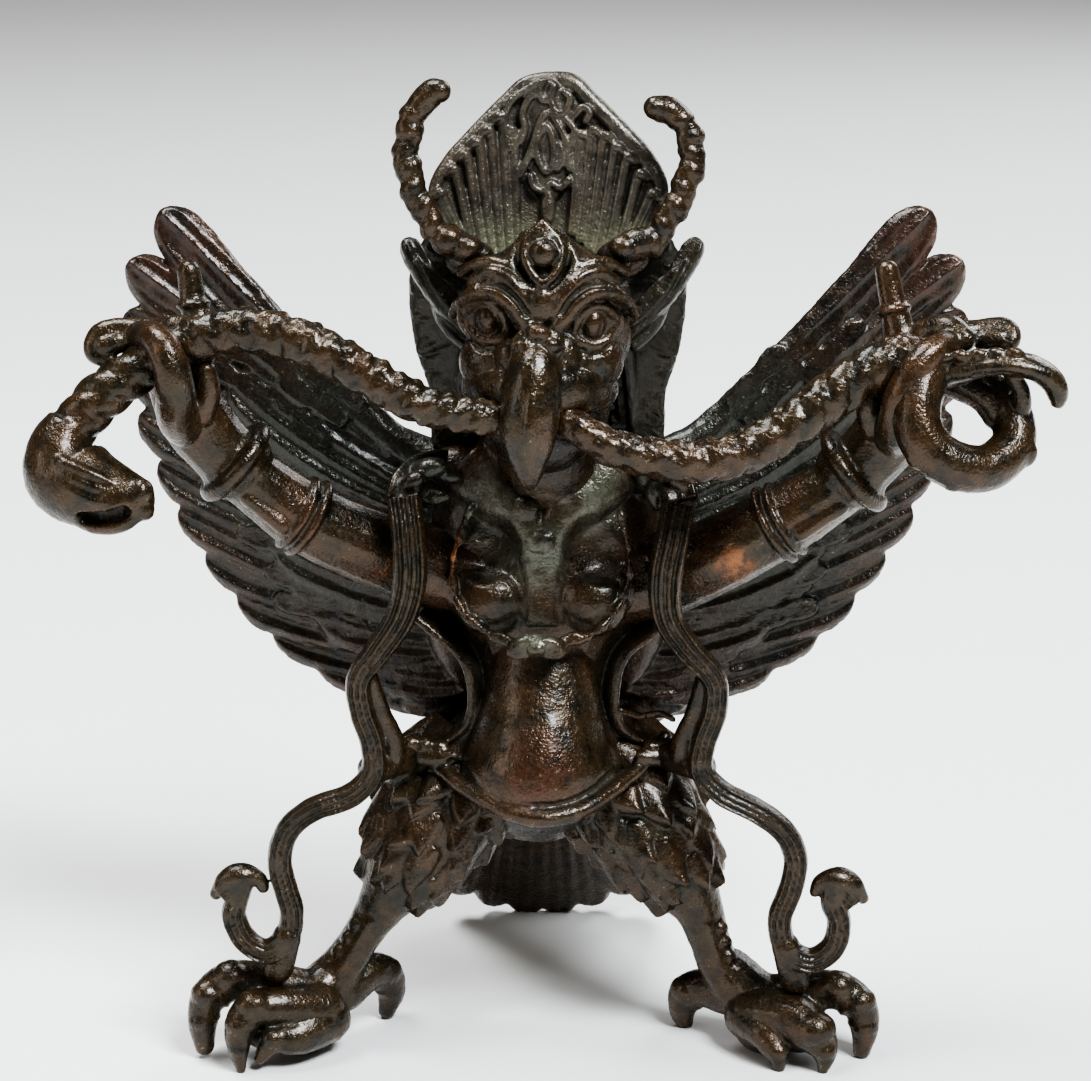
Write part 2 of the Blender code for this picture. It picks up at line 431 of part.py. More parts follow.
def ribbons(cast):
    """The fluted scarf ends, from the shoulders out and down to the curls that stand on the toes."""
    left = [(-12.3, -6.6, 52.0), (-11.9, -7.6, 49.0), (-11.8, -8.0, 45.0), (-12.7, -8.0, 41.6), (-14.6, -8.0, 38.6),
            (-16.4, -8.0, 36.0), (-16.2, -8.0, 33.0), (-15.3, -8.0, 30.2), (-15.3, -8.2, 27.4),
            (-17.2, -8.6, 25.4), (-20.4, -9.0, 23.8), (-22.6, -9.0, 21.8), (-23.4, -9.0, 18.6), (-22.9, -9.0, 15.0),
            (-22.6, -9.0, 12.6), (-23.8, -9.0, 10.4), (-26.0, -9.0, 9.9), (-27.6, -9.0, 11.4), (-28.0, -9.0, 13.6),
            (-27.2, -9.0, 15.6), (-27.6, -9.0, 17.2), (-29.0, -9.0, 16.8)]
    right = [(11.6, -6.6, 51.4), (11.0, -7.6, 48.6), (10.4, -8.0, 45.4), (10.6, -8.0, 41.8), (12.4, -8.0, 38.8),
             (14.8, -8.0, 36.0), (14.9, -8.0, 33.0), (14.0, -8.0, 30.2), (13.8, -8.2, 27.6), (15.6, -8.6, 25.6),
             (18.8, -9.0, 23.8), (21.2, -9.0, 21.8), (22.2, -9.0, 18.6), (21.6, -9.0, 15.0), (21.4, -9.0, 12.4),
             (22.6, -9.0, 10.2), (24.8, -9.0, 9.9), (26.4, -9.0, 11.4), (26.6, -9.0, 13.8), (25.8, -9.0, 15.8),
             (26.4, -9.0, 17.2), (27.8, -9.0, 16.2)]
    for side, line in ((-1, left), (1, right)):
        last = len(line) - 1
        widths = [RIBBON_HALF_WIDTH * (1 if i < last - 4 else 1 - 0.14 * (i - last + 4)) for i in range(len(line))]
        flat = [(*point, width, RIBBON_HALF_THICKNESS) for point, width in zip(line, widths)]
        cast.loft(smooth_path(flat, 3), (0, -1, 0), FLUTED)
        cast.ball(line[-2], (1.5, 1.2, 1.4))
        cast.rod([(*line[-3], 1.1), (*line[-2], 1.2), (*line[-1], 0.6)])
        strap = [(side * 12.0, -6.0, 51.6, 1.2), (side * 10.8, -5.4, 54.2, 1.3), (side * 8.4, -2.8, 55.2, 1.5),
                 (side * 6.8, 1.0, 53.8, 1.8)]
        cast.rod([(x - 0.3, y, z, r) for x, y, z, r in strap])
        web = [(*(Vector(line[5]) + Vector((-side * 0.6, 1.0, 0.6))), 1.0, 0.9),
               (*(Vector(line[6]) + Vector((-side * 1.9, 1.4, -0.6))), 1.3, 0.9),
               (*(Vector(line[7]) + Vector((-side * 1.9, 1.8, -0.6))), 1.4, 1.0),
               (*(Vector(line[8]) + Vector((-side * 1.4, 2.6, 0.2))), 1.5, 1.4)]
        cast.loft(smooth_path(web, 3), (0, -1, 0), LEAF)
        cast.rod([(*(Vector(line[8]) + Vector((0, 1.0, 0))), 1.4), (*(Vector(line[8]) + Vector((-side * 2.6, 4.2, 0))),
                                                                     1.5)])
        cast.rod([(*line[-6], 1.3), (*(Vector(line[-6]) + Vector((0, 1.4, -3.4))), 1.4)])


def legs(cast):
    """The feathered thighs, the shins, and the feet with their hooked toes."""
    left = [(-5.6, 1.8, 26.0, 5.8, 5.6), (-8.4, 0.6, 22.8, 5.9, 5.4), (-10.8, -1.2, 19.4, 5.2, 4.8),
            (-13.0, -2.4, 15.8, 3.7, 3.6), (-14.9, -3.0, 12.9, 2.3, 2.4), (-16.6, -3.2, 10.2, 1.8, 2.0),
            (-18.3, -3.4, 7.6, 1.9, 2.1), (-20.2, -3.8, 5.2, 2.4, 2.4), (-22.0, -5.0, 3.6, 2.6, 2.6)]
    right = [(4.6, 1.8, 26.0, 5.8, 5.6), (7.4, 0.6, 22.6, 5.9, 5.4), (9.8, -1.2, 19.2, 5.2, 4.8),
             (12.1, -2.4, 15.6, 3.7, 3.6), (13.9, -3.0, 12.6, 2.3, 2.4), (14.9, -3.2, 9.8, 1.9, 2.0),
             (15.9, -3.4, 7.2, 1.9, 2.1), (18.0, -3.8, 4.8, 2.4, 2.4), (20.4, -5.0, 3.4, 2.6, 2.6)]
    for side, line in ((-1, left), (1, right)):
        path = smooth_path(line, 4)
        cast.loft(path, (0, -1, 0))
        for row in range(THIGH_FEATHER_ROWS):
            x, y, z, wide, deep = path[1 + 3 * row]
            follow = path[min(1 + 3 * row + 5, len(path) - 1)]
            along = (Vector(follow[:3]) - Vector((x, y, z))).normalized()
            count = 9 if row < 4 else 7
            for i in range(count):
                angle = math.tau * (i + 0.5 * (row % 2)) / count
                out = Vector((math.cos(angle), math.sin(angle), 0))
                out = (out - along * out.dot(along)).normalized()
                root = Vector((x, y, z)) + Vector((out.x * wide, out.y * deep, out.z * wide)) * 0.9
                reach = Vector(follow[:3]) + Vector((out.x * follow[3], out.y * follow[4], out.z * follow[3])) * 1.12
                cast.feather(root, root.lerp(reach, 0.9), 1.5 * wide / 5.5 + 0.35, out, thickness=0.55)
    toes_left = [
        [(-22.0, -5.0, 4.4, 2.2), (-25.8, -6.4, 6.0, 1.9), (-29.2, -7.2, 6.2, 1.8), (-31.0, -7.8, 4.4, 1.45),
         (-31.0, -8.2, 2.2, 1.0), (-30.6, -8.4, 0.3, 0.55)],
        [(-21.6, -6.4, 3.8, 2.2), (-24.4, -9.0, 4.8, 1.9), (-26.8, -10.6, 4.4, 1.6), (-27.6, -11.2, 2.4, 1.1),
         (-27.4, -11.4, 0.2, 0.55)],
        [(-20.2, -6.0, 3.2, 2.2), (-21.8, -8.8, 2.8, 1.7), (-23.2, -10.4, 1.6, 1.1), (-23.6, -10.8, 0.3, 0.55)],
        [(-19.8, -3.4, 4.6, 2.0), (-17.0, -1.0, 4.8, 1.7), (-15.0, 0.6, 3.8, 1.5), (-14.4, 1.2, 2.0, 1.2),
         (-14.6, 1.2, 0.4, 0.8)]]
    toes_right = [
        [(20.4, -5.0, 4.2, 2.2), (24.0, -6.4, 5.8, 1.9), (27.4, -7.2, 6.0, 1.8), (29.0, -7.6, 4.2, 1.45),
         (29.0, -7.8, 2.2, 1.0), (28.7, -8.0, 0.3, 0.55)],
        [(20.0, -6.4, 3.8, 2.2), (22.6, -9.0, 4.4, 2.0), (24.8, -10.4, 3.4, 1.7), (25.3, -11.0, 1.6, 1.0),
         (25.0, -11.2, 0.2, 0.55)],
        [(18.4, -6.0, 3.2, 2.2), (19.8, -8.8, 2.8, 1.7), (20.8, -10.2, 1.4, 1.1), (21.0, -10.6, 0.2, 0.55)],
        [(17.4, -3.4, 4.0, 2.0), (15.0, -1.4, 4.0, 1.8), (13.2, -0.8, 3.0, 1.6), (12.9, -0.8, 1.4, 1.2),
         (13.2, -0.8, 0.3, 0.8)]]
    for toe in toes_left + toes_right:
        cast.rod(toe)
    cast.ball((-22.4, -6.4, 2.0), (3.4, 3.2, 2.6))
    cast.ball((20.6, -6.4, 2.0), (3.4, 3.2, 2.6))


def tail(cast):
    """A fan of tail feathers that slopes back from the rump and rests its middle tips on the ground."""
    for layer, (reach, spread, count) in enumerate(((1.0, 8.4, TAIL_FEATHERS), (0.62, 6.6, TAIL_FEATHERS - 2))):
        for i in range(count):
            share = 2 * i / (count - 1) - 1
            root = Vector((-0.4 + share * 2.4, 5.0 - layer * 0.2, 29.0))
            rise = 2.9 * max(abs(share) - 0.34, 0) / 0.66
            end = Vector((-0.3 + share * spread, TAIL_REACH - 2.4 * share**2, rise - 0.2))
            tip = root.lerp(end, reach) + Vector((0, 1.2, 1.0)) * layer
            cast.feather(root, tip, 2.1 if layer == 0 else 2.0, (0, 0.75, 0.66), bow=0, thickness=0.85)
    cast.ball((-0.3, 6.0, 26.5), (6.0, 4.2, 4.6))


def bronze():
    """Dark brown patinated bronze with a soft shine."""
    material = bpy.data.materials.new("dark_bronze")
    material.use_nodes = True
    shader = material.node_tree.nodes["Principled BSDF"]
    shader.inputs["Base Color"].default_value = BRONZE
    shader.inputs["Metallic"].default_value = 0.8
    shader.inputs["Roughness"].default_value = 0.35
    return material


def fuse(cast, collection, cutters):
    """Melts the forms together into the one solid, and cuts its soles flat where it stands."""
    figure = bpy.data.objects.new("garuda_figure", cast.mesh())
    collection.objects.link(figure)
    figure.data.materials.append(bronze())
    melt = figure.modifiers.new("melt", "REMESH")
    melt.mode = "VOXEL"
    melt.voxel_size = VOXEL * MM
    graph = bpy.context.evaluated_depsgraph_get()
    melted = bpy.data.meshes.new_from_object(figure.evaluated_get(graph))
    figure.modifiers.remove(melt)
    figure.data = melted
    lighten = figure.modifiers.new("lighten", "DECIMATE")
    lighten.ratio = TRIANGLES / (2 * len(melted.polygons))
    lighten.use_collapse_triangulate = True

    bpy.ops.mesh.primitive_cube_add(size=0.2, location=(0, 0, -0.1))
    ground = bpy.context.active_object
    ground.name = "ground_cutter"
    ground.hide_render = True
    ground.display_type = "WIRE"
    for old in ground.users_collection:
        old.objects.unlink(ground)
    cutters.objects.link(ground)
    soles = figure.modifiers.new("soles", "BOOLEAN")
    soles.operation = "DIFFERENCE"
    soles.object = ground
    return figure


def main():
    """Builds the figure."""
    clear_scene()
    collection = new_collection("garuda_figure")
    cutters = new_collection("cutters")
    cast = Casting()
    for form in (torso, necklace, head, crown, horns, mane, snake, arms, wings, ribbons, legs, tail):
        form(cast)
    fuse(cast, collection, cutters)


main()
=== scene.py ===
"""A small cast bronze garuda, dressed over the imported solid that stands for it.

The figure is one casting. It is built here piece by piece in wax forms, in millimetres on the figure's own
axis: X to the viewer's right, Y to the back and Z up. Left and right are the viewer's, seen from the front.
Points of round forms are (x, y, z, radius), and points of flat ones are (x, y, z, half width, half thickness).
Each piece is fused, tooled and given its patina, then placed on the solid.
"""

import logging
import math
from dataclasses import dataclass, field
from enum import Enum

import bmesh
import bpy
import numpy as np
from mathutils import Euler, Matrix, Vector


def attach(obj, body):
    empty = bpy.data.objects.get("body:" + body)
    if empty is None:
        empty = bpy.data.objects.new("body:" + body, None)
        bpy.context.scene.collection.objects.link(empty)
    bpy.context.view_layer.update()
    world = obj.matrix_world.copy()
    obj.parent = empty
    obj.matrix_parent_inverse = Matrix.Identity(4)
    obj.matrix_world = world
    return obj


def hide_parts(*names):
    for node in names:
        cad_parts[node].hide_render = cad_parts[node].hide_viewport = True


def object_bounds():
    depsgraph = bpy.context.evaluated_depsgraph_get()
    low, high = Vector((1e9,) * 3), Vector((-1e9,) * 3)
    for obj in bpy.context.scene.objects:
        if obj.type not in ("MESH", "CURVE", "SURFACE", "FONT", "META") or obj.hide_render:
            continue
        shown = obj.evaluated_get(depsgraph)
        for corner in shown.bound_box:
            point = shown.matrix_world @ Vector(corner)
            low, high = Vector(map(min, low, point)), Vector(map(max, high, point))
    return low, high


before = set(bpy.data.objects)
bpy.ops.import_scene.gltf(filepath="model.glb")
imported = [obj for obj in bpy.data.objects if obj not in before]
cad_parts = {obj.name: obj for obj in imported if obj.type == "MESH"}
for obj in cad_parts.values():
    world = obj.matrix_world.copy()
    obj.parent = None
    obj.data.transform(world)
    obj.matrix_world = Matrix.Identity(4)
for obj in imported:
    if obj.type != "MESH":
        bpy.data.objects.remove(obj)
cad_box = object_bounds()

log = logging.getLogger("garuda")

Point = tuple[float, ...]
Path = list[Point]
Colour = tuple[float, float, float]

MM = 0.001
SMALLEST_ISLAND = 400
BEND_STEPS = 32
FIGURE_PLACE = Vector((0.1, -6.1, 0.0))
LEFT = -1
RIGHT = 1


def smooth_path(points: Path, steps: int = 6) -> Path:
    """Draws a Catmull-Rom curve through points of any length.

    Args:
        points: The points to pass through.
        steps: How many stretches each span is cut into.

    Returns:
        The points on the curve.
    """
    ends = [points[0]] + list(points) + [points[-1]]
    path = []
    for a, b, c, d in zip(ends, ends[1:], ends[2:], ends[3:]):
        for step in range(steps):
            t = step / steps
            path.append(tuple(
                0.5 * (2 * q + (r - p) * t + (2 * p - 5 * q + 4 * r - s) * t**2 + (3 * q - p - 3 * r + s) * t**3)
                for p, q, r, s in zip(a, b, c, d)))
    path.append(tuple(points[-1]))
    return path


def domed(path: Path) -> Path:
    """Adds a round dome past each end of a rod.

    Args:
        path: The rod's points, with a radius each.

    Returns:
        The longer path.
    """
    def dome(end: Point, before: Point) -> Path:
        """The points of one dome."""
        out = (Vector(end[:3]) - Vector(before[:3])).normalized()
        return [(*(Vector(end[:3]) + out * end[3] * math.sin(turn)), end[3] * max(math.cos(turn), 0.05))
                for turn in (math.pi / 8, math.pi / 4, math.pi * 3 / 8, math.pi / 2)]
    return dome(path[0], path[1])[::-1] + list(path) + dome(path[-1], path[-2])


def mirrored(points: Path, side: int) -> Path:
    """The points on the given side, from points drawn for the right."""
    return [(side * x, *rest) for x, *rest in points]


def triangles(mesh: bpy.types.Mesh) -> int:
    """How many triangles a mesh comes to."""
    return sum(len(face.vertices) - 2 for face in mesh.polygons)


class Section(Enum):
    """Cross-sections of the flat forms."""

    ROUND = "round"
    BLADE = "blade"
    TROUGH = "trough"
    FLUTED = "fluted"
    RIDGED = "ridged"

    def outline(self) -> list[tuple[float, float]]:
        """Draws the section once round.

        Returns:
            (across, out) pairs, each from -1 to 1 or a little more.
        """
        half = 20
        if self is Section.ROUND:
            return [(math.cos(math.pi * k / half), math.sin(math.pi * k / half)) for k in range(2 * half)]
        ring = []
        for k in range(2 * half):
            across = math.cos(math.pi * k / half)
            front = k <= half
            edge = (1 - abs(across) ** 8) ** 0.5
            ring.append((across, self.height(across, front) * edge * (1 if front else -1)))
        return ring

    def height(self, across: float, front: bool) -> float:
        """How far the section stands out at a place across it.

        Args:
            across: The place, from -1 at one edge to 1 at the other.
            front: Whether it is the front face.

        Returns:
            The height, where 1 is the half thickness.
        """
        if self is Section.BLADE:
            return 0.5 + 0.2 * across**2 + (0.75 if front else 0.45) * math.exp(-(across / 0.2) ** 2)
        if self is Section.TROUGH:
            return 0.45 + 0.75 * abs(across) ** 1.5 + (0.35 * math.exp(-(across / 0.13) ** 2) if front else 0)
        if self is Section.FLUTED:
            return 0.76 - 0.28 * math.cos(math.tau * across / 0.5) if front else 0.86
        return 0.75 + (0.28 if front else 0.18) * math.cos(math.tau * across / 0.62)


@dataclass(frozen=True)
class Groove:
    """A line cut into a piece after it is fused, with a radius and a depth in millimetres."""

    path: Path
    radius: float
    depth: float


@dataclass(frozen=True)
class Tooling:
    """How finely a piece is cast, how uneven its skin is, in millimetres, and its most triangles."""

    grain: float = 0.2
    soften: int = 3
    ripple: float = 0.12
    ripple_size: float = 1.6
    pitting: float = 0.045
    pitting_size: float = 0.5
    budget: int = 40000


class Wax:
    """Gathers the closed forms of one piece, fuses them and tools the skin."""

    def __init__(self) -> None:
        """Starts with an empty piece."""
        self.corners: list[np.ndarray] = []
        self.faces: list[list[int]] = []
        self.count = 0
        self.grooves: list[Groove] = []
        self.rods = bpy.data.curves.new("rods", "CURVE")
        self.rods.dimensions = "3D"
        self.rods.bevel_depth = 1.0
        self.rods.bevel_resolution = 5
        self.rods.use_fill_caps = True

    def add(self, corners: np.ndarray, faces: np.ndarray, caps: list[list[int]] = ()) -> None:
        """Adds one closed form.

        Args:
            corners: Its vertices, one row each.
            faces: Its four-sided faces, one row each, by the number of the vertex in this form.
            caps: Its other faces.
        """
        self.corners.append(corners)
        self.faces.extend((faces + self.count).tolist())
        self.faces.extend([index + self.count for index in cap] for cap in caps)
        self.count += len(corners)

    def skin(self, rings: np.ndarray) -> None:
        """Adds a tube through rings of points, closed at both ends.

        Args:
            rings: The points, as (ring, point, axis).
        """
        length, around = rings.shape[:2]
        here = np.arange(length * around).reshape(length, around)
        after = np.roll(here, -1, axis=1)
        faces = np.stack((here[:-1], after[:-1], after[1:], here[1:]), axis=-1).reshape(-1, 4)
        self.add(rings.reshape(-1, 3), faces, [here[0][::-1].tolist(), here[-1].tolist()])

    def rod(self, points: Path, steps: int = 6) -> None:
        """Adds a round rod with domed ends.

        Args:
            points: Its points, with a radius each.
            steps: How many stretches each span is cut into.
        """
        path = domed(smooth_path(points, steps))
        spline = self.rods.splines.new("POLY")
        spline.points.add(len(path) - 1)
        for knot, (x, y, z, radius) in zip(spline.points, path):
            knot.co = (x, y, z, 1)
            knot.radius = radius

    def rope(self, points: Path, strands: int, lay: float, hand: int = 1) -> None:
        """Adds a rope of strands wound round a path.

        Args:
            points: The rope's middle, with its whole radius at each point.
            strands: How many strands it has.
            lay: The length of one turn.
            hand: Which way it is wound, 1 or -1.
        """
        path = smooth_path(points, 10)
        across = Vector((0, 0, 1))
        travelled = 0.0
        frames = []
        for i, point in enumerate(path):
            here = Vector(point[:3])
            along = (Vector(path[min(i + 1, len(path) - 1)][:3]) - Vector(path[max(i - 1, 0)][:3])).normalized()
            across = (across - along * across.dot(along)).normalized()
            if i:
                travelled += (here - Vector(path[i - 1][:3])).length
            frames.append((here, across.copy(), along.cross(across), travelled, point[3]))
        for strand in range(strands):
            winding = []
            for here, side, up, run, radius in frames:
                angle = hand * math.tau * run / lay + math.tau * strand / strands
                place = here + (side * math.cos(angle) + up * math.sin(angle)) * radius * 0.42
                winding.append((*place, radius * 0.6))
            self.rod(winding, steps=1)

    def ball(self, centre: Point, radii: Point, turn: Point = (0, 0, 0)) -> None:
        """Adds an ellipsoid.

        Args:
            centre: Its middle.
            radii: Its radius along each axis.
            turn: Its rotation about each axis, in degrees.
        """
        angles = np.array(Euler([math.radians(t) for t in turn]).to_matrix())
        rows = 8 if max(radii) < 1.2 else 18
        fall = np.linspace(0.02, math.pi - 0.02, rows)
        turns = np.linspace(0, math.tau, 2 * rows, endpoint=False)
        rings = np.empty((rows, 2 * rows, 3))
        rings[..., 0] = np.sin(fall)[:, None] * np.cos(turns)
        rings[..., 1] = np.sin(fall)[:, None] * np.sin(turns)
        rings[..., 2] = np.cos(fall)[:, None]
        self.skin((rings * np.array(radii)) @ angles.T + np.array(centre))

    def loft(self, path: Path, normal: Point, section: Section = Section.ROUND) -> None:
        """Skins one section along a path.

        Args:
            path: Its points, with a half width and a half thickness each.
            normal: Where the section's front faces.
            section: The shape of the section.
        """
        centres = [Vector(p[:3]) for p in path]
        outline = np.array(section.outline())
        rings = []
        for i, (centre, point) in enumerate(zip(centres, path)):
            along = (centres[min(i + 1, len(path) - 1)] - centres[max(i - 1, 0)]).normalized()
            across = Vector(normal).cross(along).normalized()
            out = along.cross(across)
            rings.append(np.array(centre) + outline[:, :1] * np.array(across) * point[3]
                         + outline[:, 1:] * np.array(out) * point[4])
        self.skin(np.array(rings))

    def feather(self, root: Point, tip: Point, half_width: float, normal: Point, bow: float = 0.0,
                thickness: float = 0.75, lift: float = 0.0, section: Section = Section.BLADE,
                pointed: bool = False) -> None:
        """Adds a leaf-shaped feather.

        Args:
            root: Where it starts.
            tip: Where it ends.
            half_width: Half its width.
            normal: Where its front faces.
            bow: How far its middle bends aside, along its width.
            thickness: Half its thickness at the quill.
            lift: How far its tip curls to the front.
            section: Its cross-section.
            pointed: Whether it ends in a point, like a leaf, and not in a round tip.
        """
        start, end = Vector(root), Vector(tip)
        across = Vector(normal).cross(end - start).normalized()
        front = (end - start).normalized().cross(across)
        bend = max(1 - 1.5 * half_width / (end - start).length, 0.6)
        shares = [i * bend / 9 for i in range(10)]
        shares += [bend + (1 - bend) * i for i in (0.2, 0.4, 0.6, 0.75, 0.87, 0.95, 1)]
        path = []
        for s in shares:
            taper = math.sqrt(max(1 - ((s - bend) / (1 - bend)) ** 2, 0.01)) if s > bend else 1.0
            width = half_width * (0.55 + 0.45 * math.sin(math.pi / 2 * min(s / 0.6, 1))) * taper
            if pointed:
                width = half_width * max(math.sin(math.pi * (0.16 + 0.84 * s)), 0.05)
            centre = start.lerp(end, s) + across * bow * math.sin(math.pi * s) + front * lift * s**3
            path.append((*centre, width, thickness * (0.5 + 0.5 * taper)))
        self.loft(path, normal, section)

    def band(self, centre: Point, axis: Point, radii: Point, thickness: float) -> None:
        """Adds a closed ring.

        Args:
            centre: Its middle.
            axis: The way through it.
            radii: Its two radii, across and up.
            thickness: The radius of the ring's own bar.
        """
        through = Vector(axis).normalized()
        side = through.cross(Vector((0.3, 0, 1))).normalized()
        up = through.cross(side)
        points = []
        for step in range(BEND_STEPS + 1):
            angle = math.tau * step / BEND_STEPS
            place = Vector(centre) + side * radii[0] * math.cos(angle) + up * radii[1] * math.sin(angle)
            points.append((*place, thickness))
        self.rod(points, steps=1)

    def groove(self, points: Path, radius: float, depth: float) -> None:
        """Marks a line to be cut into the skin.

        Args:
            points: Where it runs, as (x, y, z).
            radius: Half its width.
            depth: How deep it is in the middle.
        """
        self.grooves.append(Groove(smooth_path(points, 8), radius, depth))

    def cast(self, name: str, tooling: Tooling) -> bpy.types.Object:
        """Fuses the forms into one closed skin, cuts its grooves and roughens it.

        Args:
            name: The piece's name.
            tooling: How fine and how uneven it is.

        Returns:
            The piece, in metres.
        """
        mesh = bpy.data.meshes.new(name)
        mesh.from_pydata(np.concatenate(self.corners).tolist() if self.corners else [], [], self.faces)
        rods = bpy.data.objects.new("rods", self.rods)
        bpy.context.scene.collection.objects.link(rods)
        graph = bpy.context.evaluated_depsgraph_get()
        shape = bmesh.new()
        shape.from_mesh(mesh)
        shape.from_mesh(bpy.data.meshes.new_from_object(rods.evaluated_get(graph)))
        bpy.data.objects.remove(rods)
        shape.to_mesh(mesh)
        shape.free()
        mesh.transform(Matrix.Scale(MM, 4) @ Matrix.Translation(FIGURE_PLACE))
        piece = bpy.data.objects.new(name, mesh)
        bpy.context.scene.collection.objects.link(piece)
        self.tool(piece, tooling)
        self.bake(piece)
        self.cut(piece.data)
        self.thin(piece, tooling.budget)
        self.sweep(piece.data)
        self.fit(piece.data)
        return piece

    def tool(self, piece: bpy.types.Object, tooling: Tooling) -> None:
        """Sets up the modifiers that fuse the forms, soften them and make the skin uneven.

        Args:
            piece: The unfused piece.
            tooling: How fine and how uneven it is.
        """
        melt = piece.modifiers.new("melt", "REMESH")
        melt.mode = "VOXEL"
        melt.voxel_size = tooling.grain * MM
        melt.use_smooth_shade = True
        soften = piece.modifiers.new("soften", "SMOOTH")
        soften.factor = 0.5
        soften.iterations = tooling.soften
        for label, depth, size in (("ripple", tooling.ripple, tooling.ripple_size),
                                   ("pitting", tooling.pitting, tooling.pitting_size)):
            cloud = bpy.data.textures.new(label, "CLOUDS")
            cloud.noise_scale = size * MM
            cloud.noise_depth = 1
            skin = piece.modifiers.new(label, "DISPLACE")
            skin.texture = cloud
            skin.strength = depth * MM
            skin.mid_level = 0.5

    def bake(self, piece: bpy.types.Object) -> None:
        """Makes what a piece's modifiers give its own mesh.

        Args:
            piece: The piece.
        """
        before = piece.data
        graph = bpy.context.evaluated_depsgraph_get()
        piece.data = bpy.data.meshes.new_from_object(piece.evaluated_get(graph))
        piece.modifiers.clear()
        bpy.data.meshes.remove(before)

    def thin(self, piece: bpy.types.Object, budget: int) -> None:
        """Merges the smallest faces until a piece is within its budget.

        Args:
            piece: The fused piece.
            budget: The most triangles it may have.
        """
        count = triangles(piece.data)
        if count > budget:
            merge = piece.modifiers.new("thin", "DECIMATE")
            merge.ratio = budget / count
            self.bake(piece)

    def sweep(self, mesh: bpy.types.Mesh) -> None:
        """Takes away the crumbs that fusing and thinning leave beside a piece.

        Args:
            mesh: The thinned skin.
        """
        ends = np.empty(len(mesh.edges) * 2, dtype=int)
        mesh.edges.foreach_get("vertices", ends)
        a, b = ends.reshape(-1, 2).T
        island = np.arange(len(mesh.vertices))
        while True:
            low = np.minimum(island[a], island[b])
            joined = island.copy()
            np.minimum.at(joined, island[a], low)
            np.minimum.at(joined, island[b], low)
            joined = joined[joined]
            if np.array_equal(joined, island):
                break
            island = joined
        crumbs = (np.bincount(island)[island] < SMALLEST_ISLAND).nonzero()[0]
        if len(crumbs):
            shape = bmesh.new()
            shape.from_mesh(mesh)
            shape.verts.ensure_lookup_table()
            bmesh.ops.delete(shape, geom=[shape.verts[i] for i in crumbs], context="VERTS")
            shape.to_mesh(mesh)
            shape.free()

    def fit(self, mesh: bpy.types.Mesh) -> None:
        """Keeps a piece inside the solid's box.

        Args:
            mesh: The skin, in metres.
        """
        places = np.empty(len(mesh.vertices) * 3)
        mesh.vertices.foreach_get("co", places)
        places = np.clip(places.reshape(-1, 3), np.array(cad_box[0]), np.array(cad_box[1]))
        mesh.vertices.foreach_set("co", places.ravel())
        mesh.update()

    def cut(self, mesh: bpy.types.Mesh) -> None:
        """Cuts the grooves into a fused skin.

        Args:
            mesh: The skin, in metres.
        """
        count = len(mesh.vertices)
        places = np.empty(count * 3)
        normals = np.empty(count * 3)
        mesh.vertices.foreach_get("co", places)
        mesh.vertex_normals.foreach_get("vector", normals)
        places = places.reshape(-1, 3)
        normals = normals.reshape(-1, 3)
        depth = np.zeros(count)
        for groove in self.grooves:
            line = (np.array([p[:3] for p in groove.path]) + np.array(FIGURE_PLACE)) * MM
            reach = groove.radius * MM
            near = np.all((places > line.min(0) - reach) & (places < line.max(0) + reach), axis=1).nonzero()[0]
            if not len(near):
                continue
            gap = np.full(len(near), np.inf)
            for a, b in zip(line, line[1:]):
                run = b - a
                share = np.clip((places[near] - a) @ run / max(run @ run, 1e-18), 0, 1)
                gap = np.minimum(gap, np.linalg.norm(places[near] - a - share[:, None] * run, axis=1))
            fall = np.clip(1 - (gap / reach) ** 2, 0, 1) ** 1.5
            depth[near] = np.maximum(depth[near], fall * groove.depth * MM)
        places -= normals * depth[:, None]
        mesh.vertices.foreach_set("co", places.ravel())
        mesh.update()


